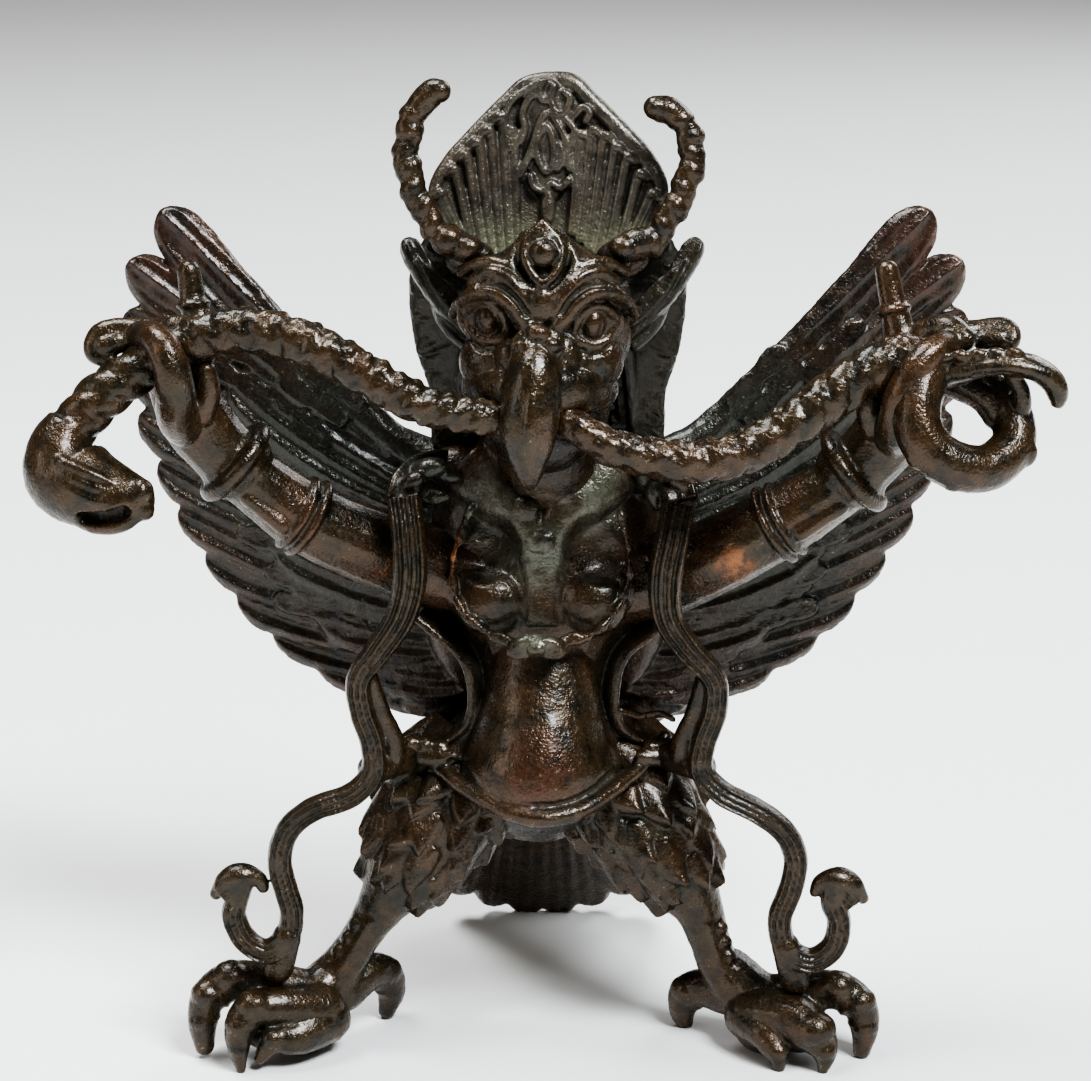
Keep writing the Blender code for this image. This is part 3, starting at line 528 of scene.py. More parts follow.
class Shader:
    """Builds one material's nodes, with short calls for the kinds used here."""

    def __init__(self, name: str) -> None:
        """Starts a material with its principled shader.

        Args:
            name: The material's name.
        """
        self.material = bpy.data.materials.new(name)
        self.material.use_nodes = True
        self.tree = self.material.node_tree
        self.bsdf = self.tree.nodes["Principled BSDF"]
        self.where = self.add("ShaderNodeTexCoord").outputs["Object"]

    def add(self, kind: str, **settings: object) -> bpy.types.Node:
        """Adds a node.

        Args:
            kind: Its Blender type.
            **settings: Its properties.

        Returns:
            The node.
        """
        node = self.tree.nodes.new(kind)
        for key, value in settings.items():
            setattr(node, key, value)
        return node

    def feed(self, socket: bpy.types.NodeSocket, value: object) -> None:
        """Sets a socket to a value, or links an output to it."""
        if isinstance(value, bpy.types.NodeSocket):
            self.tree.links.new(value, socket)
        else:
            socket.default_value = value

    def noise(self, scale: float, detail: float = 3, rough: float = 0.55) -> bpy.types.NodeSocket:
        """Fractal noise, with its scale in features per metre."""
        node = self.add("ShaderNodeTexNoise")
        self.feed(node.inputs["Vector"], self.where)
        node.inputs["Scale"].default_value = scale
        node.inputs["Detail"].default_value = detail
        node.inputs["Roughness"].default_value = rough
        return node.outputs["Fac"]

    def ramp(self, value: object, low: float, high: float, floor: float = 0.0,
             ceiling: float = 1.0) -> bpy.types.NodeSocket:
        """Maps a value from low..high to floor..ceiling, with smooth ends."""
        node = self.add("ShaderNodeMapRange", interpolation_type="SMOOTHSTEP")
        self.feed(node.inputs["Value"], value)
        for key, number in (("From Min", low), ("From Max", high), ("To Min", floor), ("To Max", ceiling)):
            node.inputs[key].default_value = number
        return node.outputs["Result"]

    def maths(self, operation: str, first: object, second: object = 0.0) -> bpy.types.NodeSocket:
        """One sum of two values, kept between 0 and 1."""
        node = self.add("ShaderNodeMath", operation=operation, use_clamp=True)
        self.feed(node.inputs[0], first)
        self.feed(node.inputs[1], second)
        return node.outputs[0]

    def blend(self, share: object, under: object, over: object) -> bpy.types.NodeSocket:
        """Mixes one colour over another."""
        node = self.add("ShaderNodeMix", data_type="RGBA")
        for socket, value in ((node.inputs[0], share), (node.inputs[6], under), (node.inputs[7], over)):
            self.feed(socket, (*value, 1) if isinstance(value, tuple) else value)
        return node.outputs[2]


VERDIGRIS: Colour = (0.096, 0.101, 0.074)
# Near black for painted shadow, laid under the belly and on the chin beside the beak.
PAINTED_SHADOW: Colour = (0.006, 0.005, 0.004)
MOSS: Colour = (0.024, 0.027, 0.019)
OCHRE: Colour = (0.34, 0.125, 0.04)
WARM: Colour = (0.085, 0.025, 0.013)

# The scales of the patina's noises, in features per metre.
BROAD_SCALE = 170
MOTTLE_SCALE = 620
FINE_SCALE = 2600
SKIN_SCALE = 3600


@dataclass(frozen=True)
class Patch:
    """A patch of another colour on the patina, in millimetres on the figure's axis."""

    centre: Point
    radius: float
    strength: float = 1.0
    colour: Colour = OCHRE


@dataclass(frozen=True)
class Patina:
    """Waxed bronze: brown on the skin, redder where it is rubbed, grey-green in its hollows, with painted shade
    darkening its creases and sheltered places towards near black.
    """

    name: str
    brown: Colour = (0.041, 0.0255, 0.0105)
    dark: Colour = (0.013, 0.0105, 0.0052)
    worn: Colour = (0.082, 0.036, 0.015)
    hollow_patina_and_shade: Colour = (0.028, 0.033, 0.019)
    dust: Colour = (0.19, 0.19, 0.125)
    rubbed: float = 0.5
    grime_and_shade: float = 0.6
    hollow_reach: float = 3.0
    roughness: float = 0.30
    dust_low: float = 0.0
    dust_high: float = 0.0
    dust_amount: float = 0.0
    patches: tuple[Patch, ...] = ()
    coat: float = 0.3
    coat_roughness: float = 0.2
    bump: float = 0.12

    def material(self) -> bpy.types.Material:
        """Builds the patina's nodes.

        Returns:
            The material.
        """
        s = Shader(self.name)
        mottle = s.noise(MOTTLE_SCALE, 2, 0.6)
        fine = s.noise(FINE_SCALE, 1, 0.65)
        height = s.add("ShaderNodeNewGeometry").outputs["Pointiness"]
        grime_and_shade = self.grime_and_shade_share(s, mottle, height)
        colour = self.bronze(s, mottle, height)
        # Grey-green patina in the hollows and painted shade: creases and sheltered places darken towards near black.
        colour = s.blend(grime_and_shade, colour, s.blend(fine, self.hollow_patina_and_shade, self.dark))
        for spot in self.patches:
            colour = self.patched(s, mottle, colour, spot)
        if self.dust_amount:
            colour = self.dusted(s, mottle, colour)
        specks = s.maths("MULTIPLY", s.ramp(fine, 0.69, 0.73), s.ramp(mottle, 0.45, 0.6))
        colour = s.blend(s.maths("MULTIPLY", specks, 0.55 * self.grime_and_shade), colour, self.dust)
        s.feed(s.bsdf.inputs["Base Color"], colour)
        rough = s.ramp(fine, 0.3, 0.7, self.roughness - 0.04, self.roughness + 0.14)
        s.feed(s.bsdf.inputs["Roughness"], s.maths("ADD", rough, s.maths("MULTIPLY", grime_and_shade, 0.4)))
        s.feed(s.bsdf.inputs["Metallic"], s.ramp(grime_and_shade, 0.0, 0.8, 0.4, 0.1))
        s.bsdf.inputs["Coat Weight"].default_value = self.coat
        s.bsdf.inputs["Coat Roughness"].default_value = self.coat_roughness
        bump = s.add("ShaderNodeBump")
        bump.inputs["Strength"].default_value = 0.7
        bump.inputs["Distance"].default_value = self.bump * MM
        s.feed(bump.inputs["Height"], s.noise(SKIN_SCALE, 1, 0.7))
        s.feed(s.bsdf.inputs["Normal"], bump.outputs["Normal"])
        return s.material

    def grime_and_shade_share(self, s: Shader, mottle: bpy.types.NodeSocket,
                    height: bpy.types.NodeSocket) -> bpy.types.NodeSocket:
        """How much of the hollows' patina and of painted shade lies at a place: most in creases and in what its
        surroundings shelter.
        """
        # Painted shade: ambient occlusion and low pointiness pick out where shade falls.
        shade = s.add("ShaderNodeAmbientOcclusion", samples=1, only_local=True)
        shade.inputs["Distance"].default_value = self.hollow_reach * MM
        sheltered = s.ramp(shade.outputs["AO"], 0.9, 0.35)
        crease_and_shelter = s.maths("MAXIMUM", s.maths("MULTIPLY", s.ramp(height, 0.495, 0.45), 0.7), sheltered)
        grime_and_shade = s.maths("MULTIPLY", crease_and_shelter, s.ramp(mottle, 0.25, 0.6, 0.5, 1.0))
        return s.maths("MULTIPLY", grime_and_shade, self.grime_and_shade)

    def bronze(self, s: Shader, mottle: bpy.types.NodeSocket,
               height: bpy.types.NodeSocket) -> bpy.types.NodeSocket:
        """The clean metal's colour: mottled brown, redder in broad areas and on its ridges."""
        warm = s.maths("MULTIPLY", s.ramp(s.noise(BROAD_SCALE, 1), 0.4, 0.64), self.rubbed)
        warm = s.maths("ADD", warm, s.maths("MULTIPLY", s.ramp(height, 0.51, 0.58), 0.5 * self.rubbed))
        warm = s.maths("MULTIPLY", warm, s.ramp(mottle, 0.2, 0.6, 0.45, 1.0))
        return s.blend(warm, s.blend(s.ramp(mottle, 0.3, 0.62), self.dark, self.brown), self.worn)

    def patched(self, s: Shader, mottle: bpy.types.NodeSocket, colour: bpy.types.NodeSocket,
                spot: Patch) -> bpy.types.NodeSocket:
        """Lays one patch over a colour."""
        away = s.add("ShaderNodeVectorMath", operation="DISTANCE")
        s.feed(away.inputs[0], s.where)
        away.inputs[1].default_value = (Vector(spot.centre) + FIGURE_PLACE) * MM
        share = s.ramp(away.outputs["Value"], spot.radius * MM, spot.radius * 0.3 * MM)
        share = s.maths("MULTIPLY", share, s.ramp(mottle, 0.3, 0.6, 0.15 * spot.strength, spot.strength))
        return s.blend(share, colour, spot.colour)

    def dusted(self, s: Shader, mottle: bpy.types.NodeSocket,
               colour: bpy.types.NodeSocket) -> bpy.types.NodeSocket:
        """Lays dust over the foot of a piece, and plain brown over what faces back."""
        level = s.add("ShaderNodeSeparateXYZ")
        s.feed(level.inputs[0], s.where)
        drift = s.ramp(level.outputs["Z"], self.dust_high * MM, self.dust_low * MM)
        drift = s.maths("MULTIPLY", drift, s.ramp(mottle, 0.2, 0.6, 0.5, self.dust_amount))
        facing = s.add("ShaderNodeSeparateXYZ")
        s.feed(facing.inputs[0], s.add("ShaderNodeNewGeometry").outputs["Normal"])
        plain = s.blend(mottle, Patina.dark, Patina.brown)
        return s.blend(s.ramp(facing.outputs["Y"], 0.2, 0.5), s.blend(drift, colour, self.dust), plain)


class Assembly:
    """A sub-assembly of the figure that casts its own pieces."""

    def place(self, wax: Wax, name: str, tooling: Tooling, patina: Patina) -> bpy.types.Object:
        """Casts a piece, dresses it and puts it on the solid.

        Args:
            wax: The piece's forms.
            name: Its name.
            tooling: How it is cast.
            patina: Its finish.

        Returns:
            The piece.
        """
        piece = wax.cast(name, tooling)
        piece.data.materials.clear()
        piece.data.materials.append(patina.material())
        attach(piece, "root")
        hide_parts("garuda_figure")
        log.info("%s: %d triangles", name, triangles(piece.data))
        return piece


@dataclass
class Torso(Assembly):
    """The trunk with its breasts, belly, hem, side sashes and beaded garland."""

    breast: Point = (3.3, 2.3, 3.0)
    beads: int = 44
    tooling: Tooling = Tooling(grain=0.19, soften=4, ripple=0.16, ripple_size=1.8, pitting=0.06, budget=100000)
    patina: Patina = Patina("torso_patina", rubbed=0.4, grime_and_shade=0.9, roughness=0.27, hollow_reach=2.6,
                            patches=(Patch((-0.4, -5.4, 46.4), 4.4, 0.9, VERDIGRIS),
                                     Patch((-0.8, -7.6, 40.2), 3.0, 0.8, VERDIGRIS),
                                     Patch((4.6, -3.4, 51.0), 4.6, 0.8, VERDIGRIS),
                                     Patch((-5.4, -3.4, 51.0), 4.6, 0.85, VERDIGRIS),
                                     Patch((9.6, -2.6, 34.0), 4.0, 0.9, MOSS),
                                     Patch((-10.0, -2.6, 34.0), 4.0, 0.9, MOSS),
                                     Patch((-4.8, -4.6, 46.0), 3.2, 0.7, VERDIGRIS),
                                     Patch((4.6, -4.6, 46.0), 3.2, 0.8, MOSS),
                                     Patch((-0.4, -10.4, 28.6), 5.4, 0.4, WARM),
                                     # Painted shadow under the belly's hem.
                                     Patch((-0.5, -8.0, 22.4), 3.0, 0.9, PAINTED_SHADOW),
                                     Patch((-0.5, -3.4, 20.8), 5.0, 1.0, PAINTED_SHADOW),
                                     Patch((0.0, -4.6, 52.4), 2.0, 0.45, WARM), Patch((-9.6, -4.4, 46.6), 3.0, 1.0)))

    def build(self) -> None:
        """Builds the piece."""
        wax = Wax()
        self.trunk(wax)
        self.sashes(wax)
        self.hem(wax)
        self.garland(wax)
        self.place(wax, "torso", self.tooling, self.patina)

    def trunk(self, wax: Wax) -> None:
        """Adds the trunk, the belly, the breasts and the ridges that meet between them."""
        trunk = [(-0.6, 2.5, 19.0, 4.0, 3.5), (-0.6, 1.5, 22.5, 8.0, 6.0), (-0.5, 0.3, 26.0, 10.2, 6.6),
                 (-0.4, 0.2, 28.6, 8.6, 6.0), (-0.3, 0.3, 31.0, 6.4, 5.2), (-0.2, 0.4, 34.0, 6.0, 5.0),
                 (-0.1, 0.6, 37.5, 7.2, 5.4), (0, 0.8, 41.0, 9.4, 5.9), (0, 1.2, 45.4, 10.2, 5.2),
                 (0, 1.8, 49.5, 9.8, 4.4), (0.1, 1.2, 54.0, 6.6, 4.6), (0.2, -1.0, 59.0, 4.8, 4.6)]
        wax.loft(smooth_path(trunk), (0, -1, 0))
        belly = [(-0.3, -2.6, 38.0, 3.8, 2.8), (-0.3, -2.8, 35.4, 4.7, 3.8), (-0.3, -3.0, 32.6, 5.2, 5.1),
                 (-0.4, -3.2, 29.6, 6.1, 6.6), (-0.5, -3.3, 27.0, 7.2, 7.5), (-0.5, -3.2, 25.2, 7.0, 7.6),
                 (-0.5, -3.0, 24.2, 5.2, 6.2)]
        wax.loft(smooth_path(belly), (0, -1, 0))
        for side in (LEFT, RIGHT):
            wax.ball((side * 7.8, 1.6, 52.0), (3.2, 2.2, 2.8))
            wax.ball((side * 4.4 - 0.3, -3.7, 41.7), self.breast)
            wax.ball((side * 4.6 - 0.3, -2.0, 42.6), (4.5, 2.8, 3.2))
            wax.groove([(side * 4.4 - 0.3, -4.4, 47.3), (side * 5.2 - 0.3, -4.4, 46.2)], 2.9, 1.0)
            fold = [(7.0, -0.8, 53.6, 2.6, 1.6), (3.6, -2.2, 50.8, 2.5, 1.8), (0.8, -3.2, 47.4, 2.0, 1.6),
                    (0.2, -4.0, 43.4, 1.5, 1.2), (0.0, -4.8, 40.0, 1.6, 1.0)]
            wax.loft(smooth_path([(side * x - 0.3, *rest) for x, *rest in fold]), (0, -1, 0))
        for x, y, z, size in ((1.6, -3.6, 51.6, 1.3), (-1.8, -4.0, 50.2, 1.4), (2.2, -3.8, 48.6, 1.2),
                              (-0.4, -4.7, 47.4, 1.3), (-3.4, -3.4, 49.4, 1.3)):
            wax.ball((x, y, z), (size, 0.6, size * 0.8), (0, 30 * x, 0))

    def sashes(self, wax: Wax) -> None:
        """Adds the thin flap that hollows in from the ribs to the waist and out to the hip, with its turned edge."""
        for side in (LEFT, RIGHT):
            edge = [(11.4, -2.4, 39.8), (9.4, -2.9, 38.2), (7.7, -3.2, 36.9), (6.8, -3.4, 35.1), (6.5, -3.4, 32.3),
                    (7.0, -3.4, 30.2), (8.4, -3.2, 28.8), (10.4, -3.0, 28.0), (12.2, -3.0, 27.4)]
            depths = (2.4, 2.4, 2.4, 2.4, 2.4, 2.4, 2.2, 1.6, 0.9)
            wax.rod([(side * x - 0.2, y, z, 0.33) for x, y, z in edge])
            flap = [(side * (x - 0.4) - 0.2, y + 2.2, z, 0.3 + 0.17 * deep, deep)
                    for (x, y, z), deep in zip(edge, depths)]
            wax.loft(smooth_path(flap), (0, -1, 0))
            for turn in range(3):
                wax.ball((side * (9.6 + 1.3 * turn), -4.0, 28.2 + 0.2 * turn), (1.0, 0.8, 0.8), (0, 30 * side, 0))
            wax.rod(mirrored([(8.4, -4.6, 27.6, 0.7), (10.4, -4.2, 27.4, 0.9), (12.2, -3.4, 27.6, 1.0)], side))
        wax.rod([(6.4, -3.3, 31.6, 0.4), (8.4, -3.8, 31.2, 0.35), (10.2, -4.6, 31.7, 0.3),
                 (11.4, -5.2, 31.3, 0.28)])

    def hem(self, wax: Wax) -> None:
        """Adds the raised hem under the belly."""
        hem = [(-11.8, -2.0, 28.4, 0.6), (-10.4, -3.4, 27.0, 0.65), (-7.6, -6.6, 25.7, 0.7),
               (-4.5, -9.4, 24.7, 0.75), (-1.5, -10.7, 24.1, 0.8), (1.0, -10.7, 24.1, 0.8),
               (3.6, -9.7, 24.6, 0.75), (6.6, -6.9, 25.8, 0.7), (9.2, -3.8, 27.0, 0.65),
               (10.8, -2.0, 28.6, 0.6)]
        wax.rod(hem)
        wax.groove([(x * 0.95, y + 0.2, z + 1.15) for x, y, z, _ in hem[1:-1]], 0.55, 0.4)

    def garland(self, wax: Wax) -> None:
        """Adds the chain of small beads, the leaves at its lowest point and the peg at one shoulder."""
        line = smooth_path([(-6.6, -3.4, 50.2, 0.4), (-7.6, -4.4, 47.6, 0.42), (-8.2, -4.6, 44.0, 0.42),
                            (-7.2, -5.6, 41.4, 0.42), (-4.4, -6.9, 39.5, 0.45), (-0.6, -7.4, 38.8, 0.5),
                            (3.6, -6.9, 39.5, 0.45), (6.0, -5.8, 41.3, 0.42), (7.3, -4.8, 43.6, 0.42),
                            (7.2, -4.6, 46.6, 0.42), (6.6, -3.6, 50.0, 0.4)], 10)
        for bead in range(self.beads):
            x, y, z, radius = line[round(bead * (len(line) - 1) / (self.beads - 1))]
            swell = 1.0 + 0.25 * math.sin(bead * 2.3)
            wax.ball((x, y - 0.1, z), (radius * swell, radius * 1.1, radius * swell))
        wax.rod([(x, y + 0.4, z, radius * 0.8) for x, y, z, radius in line], steps=1)
        for petal in range(9):
            angle = math.pi * (petal / 8)
            tip = (-0.8 + 2.6 * math.cos(angle), -7.9, 38.9 + 1.6 * math.sin(angle) - 0.5)
            wax.feather((-0.8, -7.8, 38.4), tip, 0.6, (0, -1, 0.1), thickness=0.7, lift=0.4, section=Section.TROUGH)
        wax.ball((-0.8, -8.6, 38.9), (0.9, 0.6, 0.6))
        for side in (LEFT, RIGHT):
            wax.feather((side * 1.8 - 0.8, -7.4, 39.0), (side * 4.0 - 0.8, -6.9, 39.7), 0.55, (0, -1, 0),
                        thickness=0.5, section=Section.TROUGH)
        wax.rod([(-7.0, -4.9, 47.4, 0.45), (-6.0, -5.5, 47.7, 0.62), (-5.0, -5.9, 47.6, 0.62)])


@dataclass
class Face(Assembly):
    """The skull with its eyes, flame brows, jewel, hooked beak, ears and curtains of hair."""

    centre: Point = (0.3, -3.5, 66.8)
    skull: Point = (7.4, 6.6, 7.0)
    eyes: tuple[Point, Point] = ((-4.9, -8.7, 68.3), (4.0, -8.8, 67.9))
    mane_locks: int = 9
    tooling: Tooling = Tooling(grain=0.14, soften=3, ripple=0.08, ripple_size=1.2, pitting=0.04, budget=118000)
    # Its patch is painted shadow on the chin and the beak's side, under the jaw.
    patina: Patina = Patina("face_patina", rubbed=0.35, grime_and_shade=0.85, roughness=0.23, hollow_reach=1.6,
                            patches=(Patch((1.2, -8.0, 56.6), 6.4, 1.0, PAINTED_SHADOW),))
    hair_tooling: Tooling = Tooling(grain=0.18, soften=2, ripple=0.16, ripple_size=1.3, pitting=0.08, budget=56000)
    hair_patina: Patina = Patina("hair_patina", rubbed=0.1, grime_and_shade=1.0, roughness=0.36, hollow_reach=5.0,
                                 brown=(0.026, 0.023, 0.013))

    def build(self) -> None:
        """Builds the two pieces, the head and its hair."""
        wax = Wax()
        self.head(wax)
        self.jaw(wax)
        for side, eye in zip((LEFT, RIGHT), self.eyes):
            self.eye(wax, side, eye)
            self.brow(wax, side)
            self.cheek(wax, side)
        self.beak(wax)
        self.jewel(wax)
        self.place(wax, "head", self.tooling, self.patina)
        wax = Wax()
        for side in (LEFT, RIGHT):
            self.mane(wax, side)
            self.ear(wax, side)
        self.back_locks(wax)
        self.place(wax, "hair", self.hair_tooling, self.hair_patina)

    def head(self, wax: Wax) -> None:
        """Adds the skull, the peaked edge of the cap and the throat."""
        wax.ball(self.centre, self.skull)
        wax.rod([(-7.4, -5.6, 72.6, 1.2), (-5.2, -6.8, 72.0, 1.25), (-2.8, -7.9, 73.0, 1.2), (-0.2, -8.3, 75.3, 1.0),
                 (2.6, -7.9, 73.2, 1.2), (5.0, -6.8, 72.0, 1.25), (7.6, -5.6, 72.7, 1.2)])
        wax.ball((0.1, -4.8, 69.6), (7.3, 5.9, 3.7))
        wax.ball((-0.1, -8.6, 70.0), (2.3, 2.8, 2.8))
        wax.ball((-0.3, -9.4, 68.6), (1.7, 1.8, 1.8))
        wax.ball((-0.4, -11.2, 69.9), (1.25, 0.9, 1.6))
        wax.ball((-0.6, -11.9, 67.6), (1.1, 0.8, 0.8), (0, 20, 0))
        wax.ball((-1.7, -11.9, 66.5), (0.9, 0.8, 0.7), (0, -25, 0))
        wax.ball((0.5, -11.9, 66.6), (0.9, 0.8, 0.7), (0, 25, 0))
        wax.ball((-0.3, -6.0, 57.8), (4.6, 5.0, 3.6))
        wax.loft(smooth_path([(0.2, 2.0, 47.0, 3.6, 3.0), (0.2, 0.6, 50.0, 4.0, 3.4), (0.2, -1.2, 53.4, 4.4, 3.8),
                              (0.2, -2.0, 56.0, 4.8, 4.2), (0.2, -3.0, 61.0, 6.0, 5.0)]), (0, -1, 0))

    def jaw(self, wax: Wax) -> None:
        """Adds the broad upper jaw, the line of the mouth and the chin under the snake."""
        wax.ball((-0.1, -7.0, 62.2), (5.8, 4.6, 2.9))
        wax.ball((-0.4, -9.0, 63.6), (3.6, 3.4, 2.8))
        for side in (LEFT, RIGHT):
            plate = [(0.6, -12.0, 62.6, 1.9, 1.0), (2.6, -11.2, 62.4, 1.9, 1.1), (4.4, -9.4, 62.2, 1.7, 1.2),
                     (5.8, -7.2, 62.0, 1.3, 1.0)]
            wax.loft(smooth_path([(side * x - 0.6, y, z, wide, deep) for x, y, z, wide, deep in plate]),
                     (side * 0.5, -1, 0))
        wax.rod([(-5.8, -5.4, 61.4, 0.6), (-5.5, -7.6, 60.6, 0.65), (-4.2, -9.8, 60.2, 0.6),
                 (-2.4, -11.4, 60.6, 0.5)])
        wax.rod([(5.8, -5.6, 61.8, 0.6), (5.4, -7.8, 61.2, 0.65), (4.2, -9.8, 60.9, 0.6), (1.6, -11.4, 60.8, 0.5)])
        wax.ball((-0.6, -7.4, 57.4), (3.0, 2.9, 2.0))
        wax.groove([(-6.6, -7.2, 59.4), (-4.6, -9.6, 59.0), (-2.6, -11.4, 59.4)], 0.6, 0.5)
        wax.groove([(6.6, -7.2, 60.0), (4.6, -9.8, 59.7), (2.4, -11.4, 59.8)], 0.6, 0.5)

    def eye(self, wax: Wax, side: int, eye: Point) -> None:
        """Adds one upright eyeball and its two lids.

        Args:
            wax: The piece.
            side: Which side it is on.
            eye: The eyeball's middle.
        """
        x, y, z = eye
        wax.ball(eye, (1.1, 1.5, 1.55), (0, 6 * side, 0))
        wax.ball((x, y + 1.3, z), (2.7, 1.6, 2.5))
        upper = [(-1.9, -0.9, -0.9, 0.3), (-1.2, -1.1, 0.9, 0.36), (0.1, -0.9, 1.9, 0.4), (1.4, -0.3, 1.4, 0.38),
                 (2.2, 0.6, -0.1, 0.32)]
        lower = [(-1.9, -0.9, -0.9, 0.3), (-1.1, -0.9, -1.8, 0.34), (0.2, -0.6, -2.2, 0.36), (1.5, 0.0, -1.6, 0.34),
                 (2.2, 0.6, -0.1, 0.32)]
        for lid in (upper, lower):
            wax.rod([(x + side * a * 0.88, y + b + 0.1, z + c * 0.85, r * 1.25) for a, b, c, r in lid])
        wax.groove([(x + side * a, y + b - 0.2, z + 1.2 * c - 0.1) for a, b, c, _ in lower[1:-1]], 0.4, 0.2)

    def brow(self, wax: Wax, side: int) -> None:
        """Adds one side's two brow ridges, the curl above them and the flame locks to the temple."""
        shift = -0.15

        def at(points: Path) -> Path:
            """The points on this side of the brow."""
            return [(shift + side * a, *rest) for a, *rest in points]

        wax.rod(at([(0.9, -11.0, 67.6, 0.75), (1.6, -11.1, 68.6, 0.85), (2.6, -10.9, 69.9, 0.85),
                    (4.2, -10.4, 70.8, 0.8), (5.8, -9.6, 70.6, 0.7), (7.0, -8.2, 69.5, 0.55)]))
        wax.rod(at([(0.9, -11.1, 69.2, 0.6), (1.8, -11.1, 70.7, 0.65), (3.0, -10.6, 72.0, 0.65),
                    (4.5, -9.9, 72.4, 0.6), (5.8, -9.1, 71.7, 0.55), (6.0, -9.1, 70.9, 0.45)]))
        wax.rod(at([(3.2, -10.7, 71.0, 0.45), (4.2, -10.3, 71.5, 0.5), (5.0, -10.0, 71.3, 0.4)]))
        wax.rod(at([(3.0, -9.9, 72.9, 0.5), (4.4, -9.2, 73.2, 0.5), (5.8, -8.4, 72.8, 0.5),
                    (7.0, -7.4, 71.9, 0.45)]))
        wax.rod(at([(6.2, -8.6, 70.0, 0.45), (7.3, -7.2, 69.3, 0.45), (7.8, -6.0, 68.0, 0.4)]))
        wax.groove(at([(1.5, -11.8, 69.2), (2.4, -11.6, 70.5), (3.8, -11.0, 71.4), (5.4, -10.2, 71.2)]), 0.4, 0.35)

    def cheek(self, wax: Wax, side: int) -> None:
        """Adds one side's cheek, the bag under the eye and the rim of the nostril."""
        x = -0.35
        wax.ball((x + side * 4.3, -8.0, 65.3), (2.2, 1.5, 0.9), (0, -16 * side, 0))
        wax.ball((x + side * 3.8, -7.0, 64.2), (3.3, 3.2, 3.0))
        wax.ball((x + side * 2.1 - 0.3, -9.2, 64.8), (1.8, 2.0, 2.6))
        wax.rod([(x + side * a - 0.3, b, c, r) for a, b, c, r in
                 ((0.5, -11.2, 67.6, 0.3), (1.3, -11.6, 67.5, 0.36), (1.9, -11.6, 66.8, 0.38),
                  (1.9, -11.5, 66.0, 0.34), (1.5, -11.6, 65.5, 0.28))])
        wax.groove([(x + side * 1.3 - 0.3, -12.2, 66.9), (x + side * 1.35 - 0.3, -12.2, 66.3)], 0.32, 0.35)
        wax.groove([(x + side * a, b, c) for a, b, c in
                    ((3.2, -10.9, 64.0), (4.2, -10.0, 62.9), (5.2, -8.8, 62.3), (6.4, -7.0, 62.2))], 0.5, 0.35)

    def beak(self, wax: Wax) -> None:
        """Adds the long blunt beak, hooked at its tip, with a soft bright ridge."""
        beak = [(-0.7, -10.0, 67.6, 0.6, 0.8), (-0.8, -10.9, 66.2, 1.5, 1.5), (-1.0, -11.9, 64.0, 2.3, 2.3),
                (-1.3, -12.6, 61.0, 2.55, 2.5), (-1.45, -12.8, 58.8, 2.4, 2.4), (-1.45, -12.7, 56.8, 1.75, 2.0),
                (-1.35, -12.4, 55.2, 1.0, 1.4), (-1.3, -12.1, 54.2, 0.35, 0.5)]
        wax.loft(smooth_path(beak), (0, -1, 0))
        wax.rod([(-0.8, -12.4, 65.9, 0.3), (-1.0, -13.9, 63.6, 0.6), (-1.25, -14.7, 61.0, 0.75),
                 (-1.4, -14.8, 58.8, 0.7), (-1.4, -14.2, 56.8, 0.5)])

    def jewel(self, wax: Wax) -> None:
        """Adds the round knob on the forehead in its double lozenge."""
        wax.ball((-0.2, -10.4, 74.1), (1.2, 0.95, 1.2))
        wax.ball((-0.2, -9.0, 73.6), (2.6, 1.3, 2.8))
        inner = [(0.0, -9.1, 76.4), (1.3, -9.6, 75.0), (1.55, -10.2, 73.7), (0.9, -10.9, 72.4), (0.0, -11.3, 71.6)]
        outer = [(1.6, -8.8, 75.4), (2.5, -9.5, 73.9), (2.6, -10.1, 72.8), (1.5, -11.0, 71.3), (0.0, -11.6, 70.3)]
        for line, bar in ((inner, 0.42), (outer, 0.4)):
            for side in (LEFT, RIGHT):
                wax.rod([(side * a - 0.2, b, c, bar) for a, b, c in line])

    def ear(self, wax: Wax, side: int) -> None:
        """Adds one pointed ear of two folded leaves with a turned rim."""
        facing = (-side * 0.35, -1, 0.2)
        wax.feather((0.4 + side * 6.6, -3.8, 65.6), (0.6 + side * 12.7, -2.0, 74.0), 0.95, facing, thickness=1.0,
                    bow=side * -0.5, section=Section.TROUGH)
        wax.feather((0.4 + side * 6.8, -3.2, 64.6), (0.4 + side * 10.8, -0.8, 69.6), 1.2, facing, thickness=0.9,
                    section=Section.TROUGH, pointed=True)
        wax.feather((0.4 + side * 6.8, -4.7, 66.8), (0.5 + side * 11.6, -3.4, 72.4), 0.8, facing, thickness=0.6,
                    section=Section.TROUGH, pointed=True)

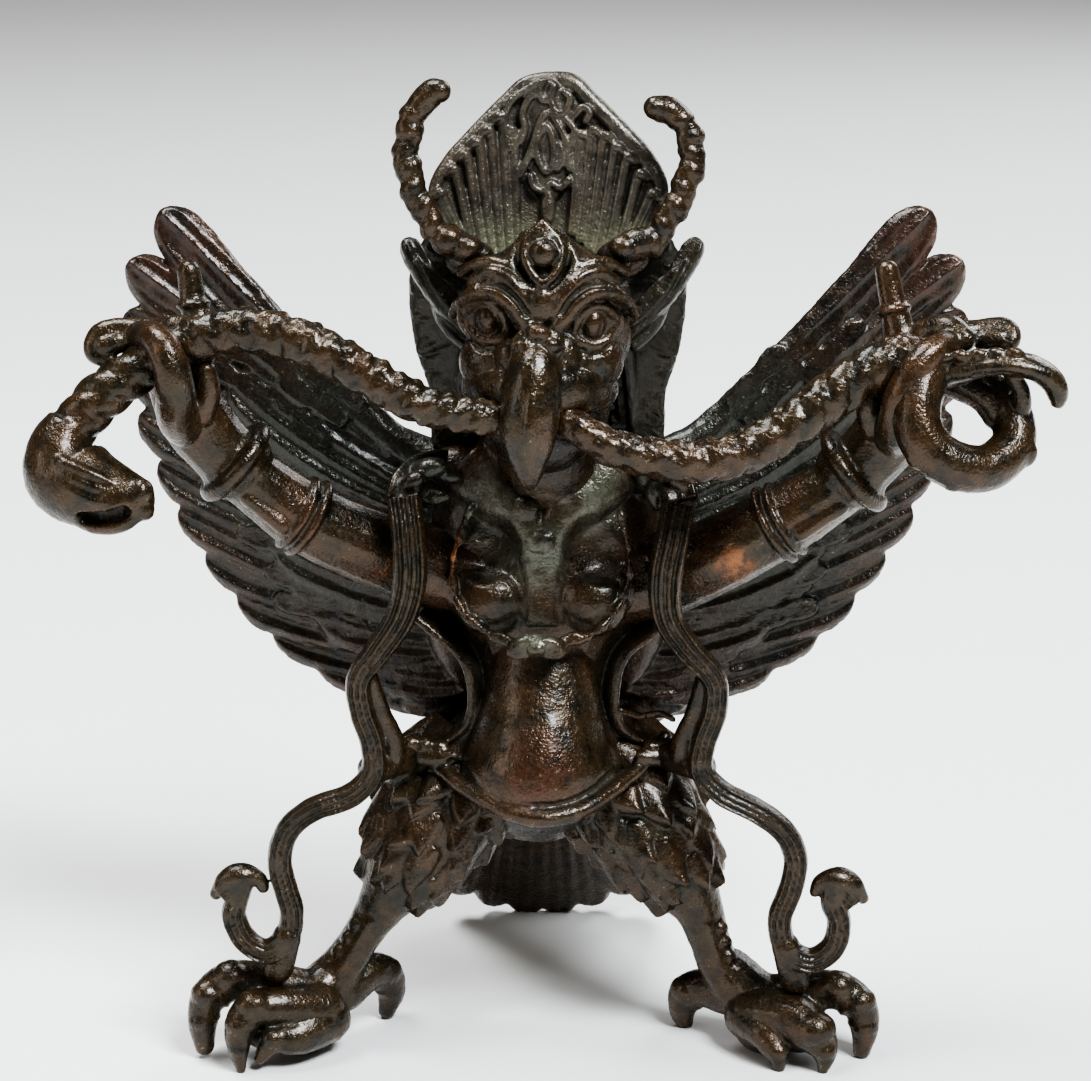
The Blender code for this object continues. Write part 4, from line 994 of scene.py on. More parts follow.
    def mane(self, wax: Wax, side: int) -> None:
        """Adds one flat curtain of hair with a notched edge and locks laid across it."""
        curtain = [(7.6, 0.6, 73.4, 3.0, 0.95), (8.9, 1.6, 70.0, 3.3, 0.95), (9.2, 2.4, 67.0, 3.1, 0.95),
                   (8.9, 3.0, 63.4, 2.9, 0.95), (8.2, 3.6, 60.0, 2.6, 0.95), (8.0, 4.0, 56.6, 2.6, 0.95),
                   (8.0, 4.2, 53.6, 2.6, 1.0)]
        path = smooth_path([(side * x + 0.2, *rest) for x, *rest in curtain], 8)
        wax.loft([(x - side * 0.05, y, z, wide - 0.05, deep) for x, y, z, wide, deep in path], (0, -1, 0))
        for lock in range(self.mane_locks):
            share = (lock + 0.3) / self.mane_locks
            x, y, z, wide, deep = path[round(share * (len(path) - 1))]
            droop = 1.5 + 0.7 * math.sin(lock * 1.9)
            root = (x - side * wide * 0.95, y - deep * 0.8, z + 1.3)
            tip = (x + side * wide * 0.9, y - deep * 0.45, z + 1.3 - droop)
            wax.feather(root, tip, 1.15, (0, -1, 0), bow=side * 0.3, thickness=0.42, lift=0.15,
                        section=Section.RIDGED)

    def back_locks(self, wax: Wax) -> None:
        """Adds the plain locks at the back of the head."""
        for lock in range(9):
            share = lock / 8 * 2 - 1
            root = (0.3 + share * 5.0, 1.2 - 2.2 * share**2, 76.0 - 2.0 * share**2)
            tip = (share * 7.5, 6.4 - 1.2 * share**2, 53.5)
            wax.feather(root, tip, 1.6, (share * 0.4, 1, 0.1), thickness=1.5, section=Section.RIDGED)


@dataclass
class Crest(Assembly):
    """The leaf-shaped crown of ribs with a flame scroll, and the two horns like twisted rope."""

    base: float = 73.0
    top: float = 88.0
    half_width: float = 10.1
    rib_lines: tuple[tuple[Point, Point], ...] = (
        ((-6.9, 74.4), (-8.8, 78.3)), ((-6.0, 73.4), (-7.7, 80.2)), ((-5.2, 73.0), (-6.7, 81.4)),
        ((-4.5, 72.8), (-5.7, 82.4)), ((-3.8, 72.8), (-4.7, 83.4)), ((-3.1, 73.2), (-3.7, 84.5)),
        ((-2.4, 73.8), (-2.7, 83.4)), ((2.2, 75.0), (2.9, 83.0)), ((2.9, 74.4), (3.9, 83.4)),
        ((3.6, 73.8), (4.9, 82.9)), ((4.3, 73.3), (5.9, 82.0)), ((5.1, 73.1), (6.9, 81.2)),
        ((5.9, 73.2), (7.9, 79.8)), ((6.8, 74.0), (8.9, 78.2)))
    scroll_lines: tuple[Path, ...] = (
        [(-2.2, 79.3), (-1.6, 80.6), (-1.0, 82.1), (-0.3, 84.1), (0.4, 84.5), (1.1, 83.5), (1.8, 82.1), (2.1, 79.8)],
        [(-0.3, 83.1), (-0.8, 82.1), (-0.6, 80.6), (0.1, 79.5), (0.7, 80.6), (0.6, 82.4), (0.1, 83.4), (-0.3, 83.1)],
        [(-1.3, 79.2), (-1.0, 78.3), (-0.2, 78.0), (0.5, 78.6), (1.3, 78.2), (2.0, 78.9)],
        [(0.1, 77.9), (0.5, 76.9), (0.3, 75.6)],
        [(-0.2, 87.2), (-0.5, 86.4), (-0.2, 85.5), (0.5, 86.1), (0.7, 86.8)],
        [(0.4, 85.6), (1.0, 84.5), (1.8, 84.8), (2.1, 85.8), (1.7, 86.2)],
        [(2.4, 84.2), (3.2, 85.0), (3.8, 84.6), (3.5, 83.9)],
        [(-3.1, 81.5), (-3.5, 83.5), (-3.4, 84.6), (-2.8, 85.7), (-1.6, 86.5), (-0.5, 87.2)],
        [(-2.2, 82.1), (-1.8, 83.2), (-2.0, 84.4), (-1.6, 85.5), (-0.9, 86.2)],
        [(1.4, 80.9), (2.1, 81.9), (2.5, 83.1), (1.8, 83.9)],
        [(1.0, 79.8), (1.5, 80.6), (1.2, 81.8)])
    left_horn: Path = field(default_factory=lambda: [
        (-8.3, -6.4, 74.6), (-9.6, -6.2, 75.8), (-10.5, -6.0, 77.3), (-11.2, -5.6, 78.9), (-11.7, -5.2, 80.5),
        (-11.8, -4.8, 82.1), (-11.6, -4.6, 83.6), (-11.1, -4.4, 85.0), (-10.3, -4.4, 86.1), (-9.5, -4.4, 86.8)])
    right_horn: Path = field(default_factory=lambda: [
        (9.0, -6.4, 74.4), (10.1, -6.2, 75.8), (11.0, -6.0, 77.3), (11.8, -5.6, 78.8), (12.3, -5.2, 80.3),
        (12.5, -4.8, 81.8), (12.2, -4.6, 83.2), (11.5, -4.4, 84.5), (10.6, -4.4, 85.2), (9.8, -4.4, 85.4)])
    tooling: Tooling = Tooling(grain=0.13, soften=2, ripple=0.06, ripple_size=1.6, pitting=0.03, budget=84000)
    # Near black in the hollows: painted shade in the grooves between the ribs.
    patina: Patina = Patina("crest_patina", rubbed=0.2, grime_and_shade=0.95, roughness=0.33, hollow_reach=1.3,
                            brown=(0.085, 0.074, 0.055), dark=(0.04, 0.034, 0.025), hollow_patina_and_shade=(0.010, 0.010, 0.008),
                            dust_low=72.5, dust_high=77.5, dust_amount=0.9)
    horn_tooling: Tooling = Tooling(grain=0.14, soften=3, ripple=0.08, ripple_size=1.2, pitting=0.04, budget=34000)
    horn_patina: Patina = Patina("horn_patina", rubbed=0.25, grime_and_shade=0.8, roughness=0.26, hollow_reach=1.2)

    def __post_init__(self) -> None:
        """Draws the outline of the pointed arch as (height, half width) pairs."""
        self.outline = smooth_path([(self.base, 5.8), (75.5, 9.0), (78.2, self.half_width), (80.4, 8.9), (82.9, 6.6),
                                    (85.4, 4.0), (87.0, 2.0), (self.top, 0.3)])

    def build(self) -> None:
        """Builds the crown and the horns."""
        wax = Wax()
        self.dish(wax)
        self.ribs(wax)
        self.scroll(wax)
        self.place(wax, "crown", self.tooling, self.patina)
        wax = Wax()
        self.horns(wax)
        self.place(wax, "horns", self.horn_tooling, self.horn_patina)

    def width_at(self, z: float) -> float:
        """Half the crown's width at a height."""
        return float(np.interp(z, [p[0] for p in self.outline], [p[1] for p in self.outline]))

    def front(self, x: float, z: float) -> float:
        """How far back the dish's front lies: its edges come forward round the scrolls."""
        return -1.6 + 0.2 * (z - self.base) - 1.8 * (x / self.half_width) ** 2

    def dish(self, wax: Wax) -> None:
        """Adds the thin dish of the crown with its raised rim."""
        rows = 24
        columns = 17
        rings = []
        for row in range(rows):
            z = self.base - 2 + (self.top - self.base + 1.7) * row / (rows - 1)
            half = self.width_at(max(z, self.base))
            line = [(0.3 + half * a, self.front(half * a, z), z) for a in np.linspace(-1, 1, columns)]
            rings.append(line + [(x, y + 1.4, z) for x, y, z in reversed(line)])
        wax.skin(np.array(rings))
        heights = (74, 75.5, 78, 80.5, 83, 85.5, 87)
        rim = [(0.3 - (self.width_at(z) - 0.25), self.front(self.width_at(z), z) + 0.4, z, 0.6) for z in heights]
        rim += [(0.3 + (self.width_at(z) - 0.35), self.front(self.width_at(z), z) + 0.4, z, 0.6 + 0.25 * (z > 79))
                for z in heights[::-1]]
        wax.rod(rim)

    def ribs(self, wax: Wax) -> None:
        """Adds the fan of ribs, each with a round hooked head under the rim."""
        for line in self.rib_lines:
            (foot_x, foot_z), (top_x, top_z) = line
            side = LEFT if top_x < 0 else RIGHT
            points = []
            for step in range(7):
                t = step / 6
                x = foot_x + (top_x - foot_x) * t**0.8
                z = foot_z - 0.6 + (top_z - foot_z) * t
                points.append((x, self.front(x, z) - 0.35 - 0.15 * t, z, 0.38 + 0.08 * t))
            wax.rod(points, steps=3)
            x, y, z, _ = points[-1]
            wax.rod([(x, y, z, 0.46), (x + side * 0.25, y - 0.15, z + 0.35, 0.5),
                     (x + side * 0.75, y - 0.1, z, 0.42)])

    def scroll(self, wax: Wax) -> None:
        """Adds the flame scroll in the middle, as raised lines over a raised leaf."""
        wax.loft([(0.3, self.front(0, z) + 0.1, z, wide, 0.75) for z, wide in
                  ((76.8, 0.5), (78.2, 1.9), (80.5, 2.3), (83.0, 2.4), (85.0, 2.6), (86.6, 1.6), (87.2, 0.6))],
                 (0, -1, 0))
        for line in self.scroll_lines:
            wax.rod([(x, self.front(x, z) - 0.7, z, 0.36) for x, z in line])
        wax.rod([(0.2, self.front(0, z) - 0.4, z, wide) for z, wide in
                 ((74.8, 0.3), (75.8, 0.6), (76.8, 0.7), (77.8, 0.4))])

    def horns(self, wax: Wax) -> None:
        """Adds the two horns, each a chain of twisted lumps that ends in a smooth tip."""
        for side, line in ((LEFT, self.left_horn), (RIGHT, self.right_horn)):
            wax.rod([(*point, 1.0) for point in line])
            for i, point in enumerate(line[:-2]):
                ahead, behind = Vector(line[i + 1]), Vector(line[max(i - 1, 0)])
                lean = math.degrees(math.atan2(ahead.x - behind.x, ahead.z - behind.z))
                size = 1.42 - 0.02 * i
                wax.ball(Vector(point) + Vector((0.1 * (-1) ** i, -0.1, 0)), (size, size * 0.92, 0.98),
                         (0, lean + 32 * side, 0))
                strand = Vector(point).lerp(ahead, 0.5) + Vector((0.35 * side * (-1) ** i, -0.4, 0))
                wax.ball(strand, (0.8, 0.75, 1.3), (0, lean - 30 * side, 0))
            x, y, z = line[-1]
            wax.rod([(*Vector(line[-3]), 1.1), (*Vector(line[-2]), 1.2), (x, y, z, 1.2),
                     (x - side * 0.5, y - 0.2, z + 0.15, 1.05)])
            wax.ball((side * 6.6, -7.0, 74.0), (1.3, 1.2, 1.1))
            wax.rod([(side * 5.4, -6.6, 73.2, 1.1), (side * 7.6, -6.4, 74.2, 1.35), (*line[0], 1.3)])
        wax.ball((-8.3, -6.8, 74.6), (1.5, 1.4, 1.4))


@dataclass
class Snake(Assembly):
    """The snake that the beak and both fists hold, with its hooded head on the left and its tail on the right."""

    lay: float = 7.2
    tooling: Tooling = Tooling(grain=0.17, soften=5, ripple=0.1, ripple_size=1.3, pitting=0.04, budget=84000)
    patina: Patina = Patina("snake_patina", rubbed=0.3, grime_and_shade=0.8, roughness=0.26, hollow_reach=1.2)

    def build(self) -> None:
        """Builds the piece."""
        wax = Wax()
        self.left_run(wax)
        self.hood(wax)
        self.right_run(wax)
        self.place(wax, "snake", self.tooling, self.patina)

    def scaled(self, wax: Wax, line: Path, hand: int) -> None:
        """Adds a run of body: a core, three wound strands and the soft scales along them.

        Args:
            wax: The piece.
            line: The body's middle, with its radius at each point.
            hand: Which way it is wound.
        """
        wax.rod([(x, y, z, r * 0.84) for x, y, z, r in line])
        wax.rope([(x, y, z, r) for x, y, z, r in line], 3, self.lay, hand)
        path = smooth_path(line, 6)
        for i, (x, y, z, r) in enumerate(path[1:-1:2]):
            for row in range(3):
                lean = -0.5 + 0.85 * row + 0.4 * (i % 2)
                place = (x, y - r * math.cos(lean) * 0.66, z + r * math.sin(lean) * 0.6)
                wax.ball(place, (1.2, 0.7, 0.72), (0, -38 * hand, 0))

    def left_run(self, wax: Wax) -> None:
        """Adds the run from the beak to the left fist and down to the neck."""
        self.scaled(wax, [(-1.0, -10.2, 59.6, 1.3), (-3.8, -11.2, 60.0, 1.35), (-6.4, -11.8, 60.4, 1.45),
                          (-10.6, -11.8, 61.4, 1.7), (-14.8, -11.0, 63.6, 1.85), (-19.1, -10.0, 65.8, 1.95),
                          (-23.4, -9.0, 67.0, 2.0), (-27.3, -8.3, 67.0, 2.0), (-31.1, -8.2, 65.8, 2.0),
                          (-34.6, -8.4, 63.8, 2.1), (-38.0, -9.2, 61.4, 2.2), (-40.2, -10.0, 58.9, 2.1)], 1)

    def hood(self, wax: Wax) -> None:
        """Adds the hooded head with its bands, open mouth and blunt snout."""
        pod = [(-40.3, -10.1, 59.6, 2.0, 2.0), (-41.2, -10.6, 57.4, 2.9, 2.9), (-40.8, -11.2, 55.4, 3.7, 3.4),
               (-39.0, -12.0, 54.4, 3.6, 3.4), (-37.0, -12.8, 53.9, 3.0, 2.9), (-35.2, -13.5, 53.7, 2.3, 2.3),
               (-33.9, -14.0, 53.6, 1.7, 1.8), (-33.3, -14.2, 53.6, 0.8, 1.0)]
        wax.loft(smooth_path(pod), (0, -1, 0))
        for rise in (0.25, 0.75, 1.2):
            wax.rod([(-42.8 + rise, -12.8, 57.0 - 1.6 * (1.2 - rise), 0.45),
                     (-40.6, -14.6 + rise * 0.4, 55.6 + 2.0 * (rise - 0.5), 0.5),
                     (-38.2, -15.3 + rise * 0.4, 54.6 + 2.2 * (rise - 0.5), 0.5),
                     (-36.0, -15.5 + rise * 0.6, 54.0 + 1.5 * (rise - 0.5), 0.4)])
        wax.ball((-34.0, -14.4, 54.4), (1.1, 1.2, 1.3))
        wax.ball((-33.8, -14.4, 53.0), (0.9, 1.1, 1.0))
        wax.groove([(-34.9, -15.9, 55.2), (-34.7, -16.2, 53.9), (-34.9, -15.8, 52.8)], 0.4, 0.4)
        lip = [(-40.2, -12.8, 52.4, 0.9), (-38.0, -14.0, 51.7, 1.0), (-35.8, -14.6, 51.9, 0.9),
               (-34.6, -14.7, 52.5, 0.7)]
        mouth = [(-38.9, -14.8, 52.3), (-37.6, -15.3, 52.3), (-36.4, -15.5, 52.5), (-35.4, -15.4, 53.0)]
        wax.rod(lip)
        wax.groove(mouth, 0.75, 1.4)

    def right_run(self, wax: Wax) -> None:
        """Adds the run from the beak to the right fist, the tail's loop and the fin over it."""
        self.scaled(wax, [(-0.2, -10.2, 60.0, 1.35), (2.6, -11.4, 59.4, 1.5), (5.2, -11.9, 57.9, 1.65),
                          (8.4, -12.0, 57.0, 1.8),
                          (12.2, -12.0, 56.5, 1.9), (16.5, -11.2, 57.0, 2.0), (20.8, -10.2, 59.2, 2.1),
                          (24.3, -9.3, 61.6, 2.15), (27.7, -8.5, 63.6, 2.2), (31.0, -8.2, 65.0, 2.1)], -1)
        loop = [(32.6, -9.0, 64.0, 1.95), (31.7, -10.6, 62.4, 2.05), (31.4, -11.8, 59.9, 2.1),
                (32.4, -12.4, 57.8, 2.1), (34.8, -12.4, 56.2, 2.1), (37.6, -11.4, 55.9, 2.05),
                (39.9, -9.6, 57.4, 1.95), (39.9, -8.0, 59.8, 1.8), (38.4, -6.8, 61.6, 1.7), (35.6, -6.2, 62.9, 1.7)]
        wax.rod(loop)
        wax.rod([(33.2, -7.0, 62.8, 1.4), (35.6, -7.4, 62.3, 1.5), (37.6, -7.8, 61.2, 1.4), (38.6, -8.0, 59.6, 1.2)])
        for i, (x, y, z, r) in enumerate(smooth_path(loop, 1)):
            out = Vector((x - 36.0, 0, z - 60.0)).normalized()
            size = 1.1 + 0.25 * math.sin(2.3 * i)
            wax.ball((x + out.x * r * 0.45, y - 0.7, z + out.z * r * 0.45), (size, 0.9, size), (0, 40 * i, 0))
        fin = [(33.0, -8.4, 63.6, 1.5, 1.7), (35.4, -9.2, 64.0, 1.2, 1.9), (37.2, -9.8, 64.5, 1.05, 2.0),
               (39.2, -10.2, 64.7, 1.05, 2.0), (41.3, -10.4, 64.3, 1.05, 1.9), (42.9, -10.5, 63.2, 1.05, 1.6),
               (43.4, -10.5, 61.9, 0.9, 1.2), (43.3, -10.5, 60.9, 0.45, 0.6)]
        wax.loft(smooth_path(fin), (0, -1, 0))
        wax.rod([(39.6, -9.6, 63.4, 0.7), (40.4, -9.4, 62.2, 0.8), (40.6, -9.2, 60.8, 0.9)])
        wax.groove([(36.4, -11.6, 63.6), (39.0, -12.2, 63.8), (41.0, -12.2, 63.2), (42.2, -11.9, 62.2)], 0.6, 0.5)
        for k in range(5):
            wax.ball((33.6 + 1.5 * k, -10.4 - 0.2 * k, 65.3 + 0.1 * k), (0.85, 0.6, 0.6), (0, 15, 0))


@dataclass
class Arm(Assembly):
    """One raised arm with its armlet and gauntlet, and the hand that grips the snake."""

    side: int
    line: Path
    fingers: list[Path]
    palm: Point
    rub: Patch
    tooling: Tooling = Tooling(grain=0.18, soften=3, ripple=0.14, ripple_size=1.8, pitting=0.03, budget=38000)

    def build(self) -> None:
        """Builds the piece."""
        wax = Wax()
        wax.rod(self.line)
        self.jewellery(wax)
        for finger in self.fingers:
            wax.rod(finger)
        wax.ball(self.palm, (3.0, 3.0, 3.2))
        index = self.fingers[0]
        base, tip = Vector(index[2][:3]), Vector(index[3][:3])
        wax.band(base - (tip - base) * 0.1, tip - base, (1.3, 1.3), 0.26)
        name = "arm_left" if self.side == LEFT else "arm_right"
        patina = Patina(f"{name}_patina", rubbed=0.55, grime_and_shade=0.7, roughness=0.26, hollow_reach=2.0,
                        patches=(self.rub,))
        self.place(wax, name, self.tooling, patina)

    def jewellery(self, wax: Wax) -> None:
        """Adds the double armlet and the flaring rim of the gauntlet."""
        shoulder, band, cuff, wrist = (Vector(point[:3]) for point in self.line[2:6])
        along = (cuff - shoulder).normalized()
        for step, (radius, bar) in enumerate(((3.35, 0.36), (3.2, 0.32))):
            wax.band(band + along * 1.1 * step, along, (radius, radius + 0.1), bar)
        lip = cuff.lerp(wrist, 0.45)
        wax.band(lip, wrist - band, (3.2, 3.5), 0.8)
        wax.rod([(*wrist, 2.6), (*lip.lerp(wrist, 0.4), 3.1), (*lip, 3.5)])
        wax.rod([(*(band + along * 2.4 + Vector((0, -2.6, -1.2))), 0.8), (*(cuff + Vector((0, -2.2, -1.4))), 0.7)])


@dataclass
class Wing(Assembly):
    """One wing of long overlapping feathers that fan up from the small of the back."""

    side: int
    feather_half_width: float = 2.5
    tooling: Tooling = Tooling(grain=0.2, soften=2, ripple=0.2, ripple_size=1.8, pitting=0.08, budget=80000)
    tips: Path = field(default_factory=lambda: [
        (34.5, 10.0, 74.6), (37.5, 10.2, 70.0), (38.0, 10.2, 65.2), (37.8, 10.0, 60.4), (37.0, 9.8, 55.8),
        (35.4, 9.6, 51.2), (33.6, 9.4, 47.0), (31.2, 9.2, 42.8), (28.4, 9.0, 39.0), (25.2, 8.8, 35.8),
        (21.2, 8.4, 33.2), (16.6, 7.6, 31.7), (11.8, 6.8, 30.6), (7.6, 6.0, 29.6)])
    roots: Path = field(default_factory=lambda: [
        (11.5, 5.2, 52.5), (9.5, 5.0, 47.0), (7.8, 4.6, 41.0), (6.4, 4.4, 36.0), (5.2, 4.2, 32.5), (3.0, 4.2, 30.2)])

    def build(self) -> None:
        """Builds the piece."""
        wax = Wax()
        root_line = smooth_path(self.roots)
        last = len(self.tips) - 1
        self.membrane(wax, root_line)
        for i, tip in enumerate(self.tips):
            root = root_line[round(i * (len(root_line) - 1) / last)]
            self.long_feather(wax, i, root, tip)
            if i % 2 == 0 and i:
                self.covert(wax, root, tip)
            self.small_coverts(wax, i, root, tip)
        self.leading_edge(wax)
        name = "wing_left" if self.side == LEFT else "wing_right"
        self.place(wax, name, self.tooling,
                   Patina(f"{name}_patina", rubbed=0.3, grime_and_shade=1.0, roughness=0.3, hollow_reach=5.0,
                          brown=(0.036, 0.0225, 0.0135), dark=(0.010, 0.009, 0.007),
                          patches=(Patch((self.side * 17.0, 5.0, 50.0), 19.0, 0.95, MOSS),
                                   Patch((self.side * 34.0, 9.0, 71.0), 6.0, 0.3, WARM))))

    def on_side(self, point: Point, back: float = 0.0) -> Point:
        """The point on this wing's side, moved back by a distance."""
        return (self.side * point[0], point[1] + back, point[2])

    def long_feather(self, wax: Wax, index: int, root: Point, tip: Point) -> None:
        """Adds one of the long feathers, with two fine lines beside its quill."""
        half = self.feather_half_width if index else 2.6
        back = 0.3 * (index % 2)
        wax.feather(self.on_side(root), self.on_side(tip, back), half, (0, -1, 0), bow=self.side * -1.5,
                    thickness=0.85, lift=0.5, section=Section.RIDGED)
        if index in (0, 1):
            wax.feather(self.on_side(Vector(root).lerp(Vector(tip), 0.5), -0.6), self.on_side(tip, -0.5), 1.5,
                        (0, -1, 0), thickness=0.7, lift=0.3, section=Section.BLADE)
        start, end = Vector(self.on_side(root)), Vector(self.on_side(tip, back))
        across = Vector((0, -1, 0)).cross(end - start).normalized()
        for lane in (-0.55, 0.55):
            line = []
            for k in range(7):
                s = 0.35 + 0.58 * k / 6
                bow = across * (self.side * -1.5 * math.sin(math.pi * s) + lane * half)
                line.append(tuple(start.lerp(end, s) + bow + Vector((0, -0.4, 0))))
            wax.groove(line, 0.4, 0.22)

    def membrane(self, wax: Wax, root_line: Path) -> None:
        """Adds the thin sheet behind the feathers that closes the gaps between them."""
        last = len(self.tips) - 1
        rings = []
        for i, tip in enumerate(self.tips):
            start = Vector(self.on_side(root_line[round(i * (len(root_line) - 1) / last)], -0.35))
            end = start.lerp(Vector(self.on_side(tip, -0.15)), 0.84)
            across = Vector((0, -1, 0)).cross(end - start).normalized()
            line = [start.lerp(end, k / 8) + across * (self.side * -1.4 * math.sin(math.pi * k / 9))
                    for k in range(9)]
            if not i:
                line = [point - across * (0.8 * self.side) for point in line]
            rings.append([tuple(point) for point in line]
                         + [(point.x, point.y + 0.75, point.z) for point in reversed(line)])
        wax.skin(np.array(rings))

    def covert(self, wax: Wax, root: Point, tip: Point) -> None:
        """Adds a shorter feather over the roots, on the front and on the back."""
        end = Vector(root).lerp(Vector(tip), 0.66)
        wax.feather(self.on_side(root, -0.8), self.on_side(end, -0.9), 2.6, (0, -1, 0), bow=self.side * -1.0,
                    thickness=0.7, section=Section.RIDGED)
        wax.feather(self.on_side(root, 1.0), self.on_side(end, 1.2), 2.6, (0, 1, 0), bow=self.side * 1.0,
                    thickness=0.7, section=Section.RIDGED)

    def small_coverts(self, wax: Wax, index: int, root: Point, tip: Point) -> None:
        """Adds the short feathers that lie like shingles over the inner half of a long one."""
        start, end = Vector(self.on_side(root)), Vector(self.on_side(tip))
        along = (end - start).normalized()
        across = Vector((0, -1, 0)).cross(along).normalized()
        for row in range(4 if index < 8 else 2):
            near = 0.22 + 0.1 * row + 0.04 * (index % 2)
            bow = self.side * -1.5 * math.sin(math.pi * near)
            sway = 0.35 * math.sin(2.7 * index + 1.9 * row)
            base = start.lerp(end, near) + across * (bow + sway) + Vector((0, -0.95, 0))
            for lane in (-1, 1):
                foot = base + across * lane * 1.15
                wax.feather(foot, foot + along * 4.2 + across * sway + Vector((0, 0.1, 0)), 1.05, (0, -1, 0),
                            thickness=0.3, lift=0.1, section=Section.TROUGH)

    def leading_edge(self, wax: Wax) -> None:
        """Adds the wing's straight leading edge and the muscle at its root."""
        edge = [(5.0, 3.5, 51.0, 2.6), (13.4, 5.6, 54.2, 1.5), (20.8, 7.6, 60.6, 1.25), (27.6, 9.2, 67.6, 1.15),
                (32.8, 9.8, 73.2, 1.1)]
        wax.rod(mirrored(edge, self.side))
        wax.ball((self.side * 6.0, 3.4, 42.0), (5.5, 3.0, 11.0))


@dataclass
class Ribbon(Assembly):
    """One fluted scarf end, from the shoulder out and down to the curl that stands on the toes."""

    side: int
    line: Path
    half_width: float = 1.5
    half_thickness: float = 1.2
    tooling: Tooling = Tooling(grain=0.14, soften=2, ripple=0.12, ripple_size=1.6, pitting=0.03, budget=42000)

    def build(self) -> None:
        """Builds the piece."""
        wax = Wax()
        last = len(self.line) - 1
        flat = []
        for i, point in enumerate(self.line):
            width = self.half_width * (1.0 - 0.28 * min(max(i - 2, 0) / 3, 1.0)) * min(1.0, 0.85 + 0.05 * (last - i))
            flat.append((*point, width, self.half_thickness * (0.55 + 0.45 * width / self.half_width)))
        wax.loft(smooth_path(flat), (0, -1, 0), Section.FLUTED)
        self.ends(wax)
        self.second_strand(wax)
        name = "ribbon_left" if self.side == LEFT else "ribbon_right"
        # Near black in the hollows: painted shade in the ribbon's grooves.
        self.place(wax, name, self.tooling,
                   Patina(f"{name}_patina", rubbed=0.1, grime_and_shade=1.0, roughness=0.28, hollow_reach=0.9,
                          hollow_patina_and_shade=(0.014, 0.013, 0.010),
                          patches=(Patch((self.side * 10.2, -3.4, 53.4), 4.4, 1.0, MOSS),)))

    def ends(self, wax: Wax) -> None:
        """Adds the strap over the shoulder, and the knob and point of the curl."""
        line, side = self.line, self.side
        strap = [(side * 12.2, -6.2, 51.6, 1.4, 0.8), (side * 11.7, -5.2, 52.8, 1.6, 0.7),
                 (side * 10.4, -2.8, 53.2, 1.9, 0.7), (side * 8.4, 0.6, 52.6, 2.0, 1.0)]
        wax.loft(smooth_path([(x - 0.3, *rest) for x, *rest in strap]), (0, -1, 0.4), Section.TROUGH)
        for x, y, z, size in ((11.6, -5.6, 53.2, 1.1), (10.2, -4.0, 54.0, 1.4), (8.8, -3.0, 53.2, 1.3),
                              (9.6, -4.2, 51.6, 1.2)):
            wax.ball((side * x, y, z), (size * 1.2, size * 0.8, size * 0.7), (0, 40 * side - 15 * x, 0))
        knob = Vector(line[-2])
        wax.rod([(*line[-3], 1.05), (*knob, 1.2)])
        wax.rod([(*(knob + Vector((side * dx, 0, dz))), radius) for dx, dz, radius in
                 ((2.3, -1.4, 0.6), (1.3, -0.2, 1.05), (0.0, 0.3, 1.2), (-1.4, 0.0, 0.8), (-1.9, -0.8, 0.55))])
        wax.rod([(*line[-7], 1.3), (*(Vector(line[-7]) + Vector((side * 1.0, 1.2, -3.4))), 1.5)])

    def second_strand(self, wax: Wax) -> None:
        """Adds the strand behind the elbow that ties the ribbon to the hip."""
        line, side = self.line, self.side
        moves = ((5, -0.6, 1.0, 0.6, 0.8, 0.9), (6, -1.6, 1.4, -0.6, 0.95, 0.9), (7, -1.7, 1.8, -0.6, 1.1, 1.0),
                 (8, -1.4, 2.6, 0.2, 1.4, 1.4))
        web = [(*(Vector(line[i]) + Vector((side * dx, dy, dz))), wide, deep) for i, dx, dy, dz, wide, deep in moves]
        wax.loft(smooth_path(web), (0, -1, 0))
        knee = Vector(line[8])
        wax.rod([(*(knee + Vector((0, 1.0, 0))), 1.4), (*(knee + Vector((-side * 2.6, 4.2, 0))), 1.5)])


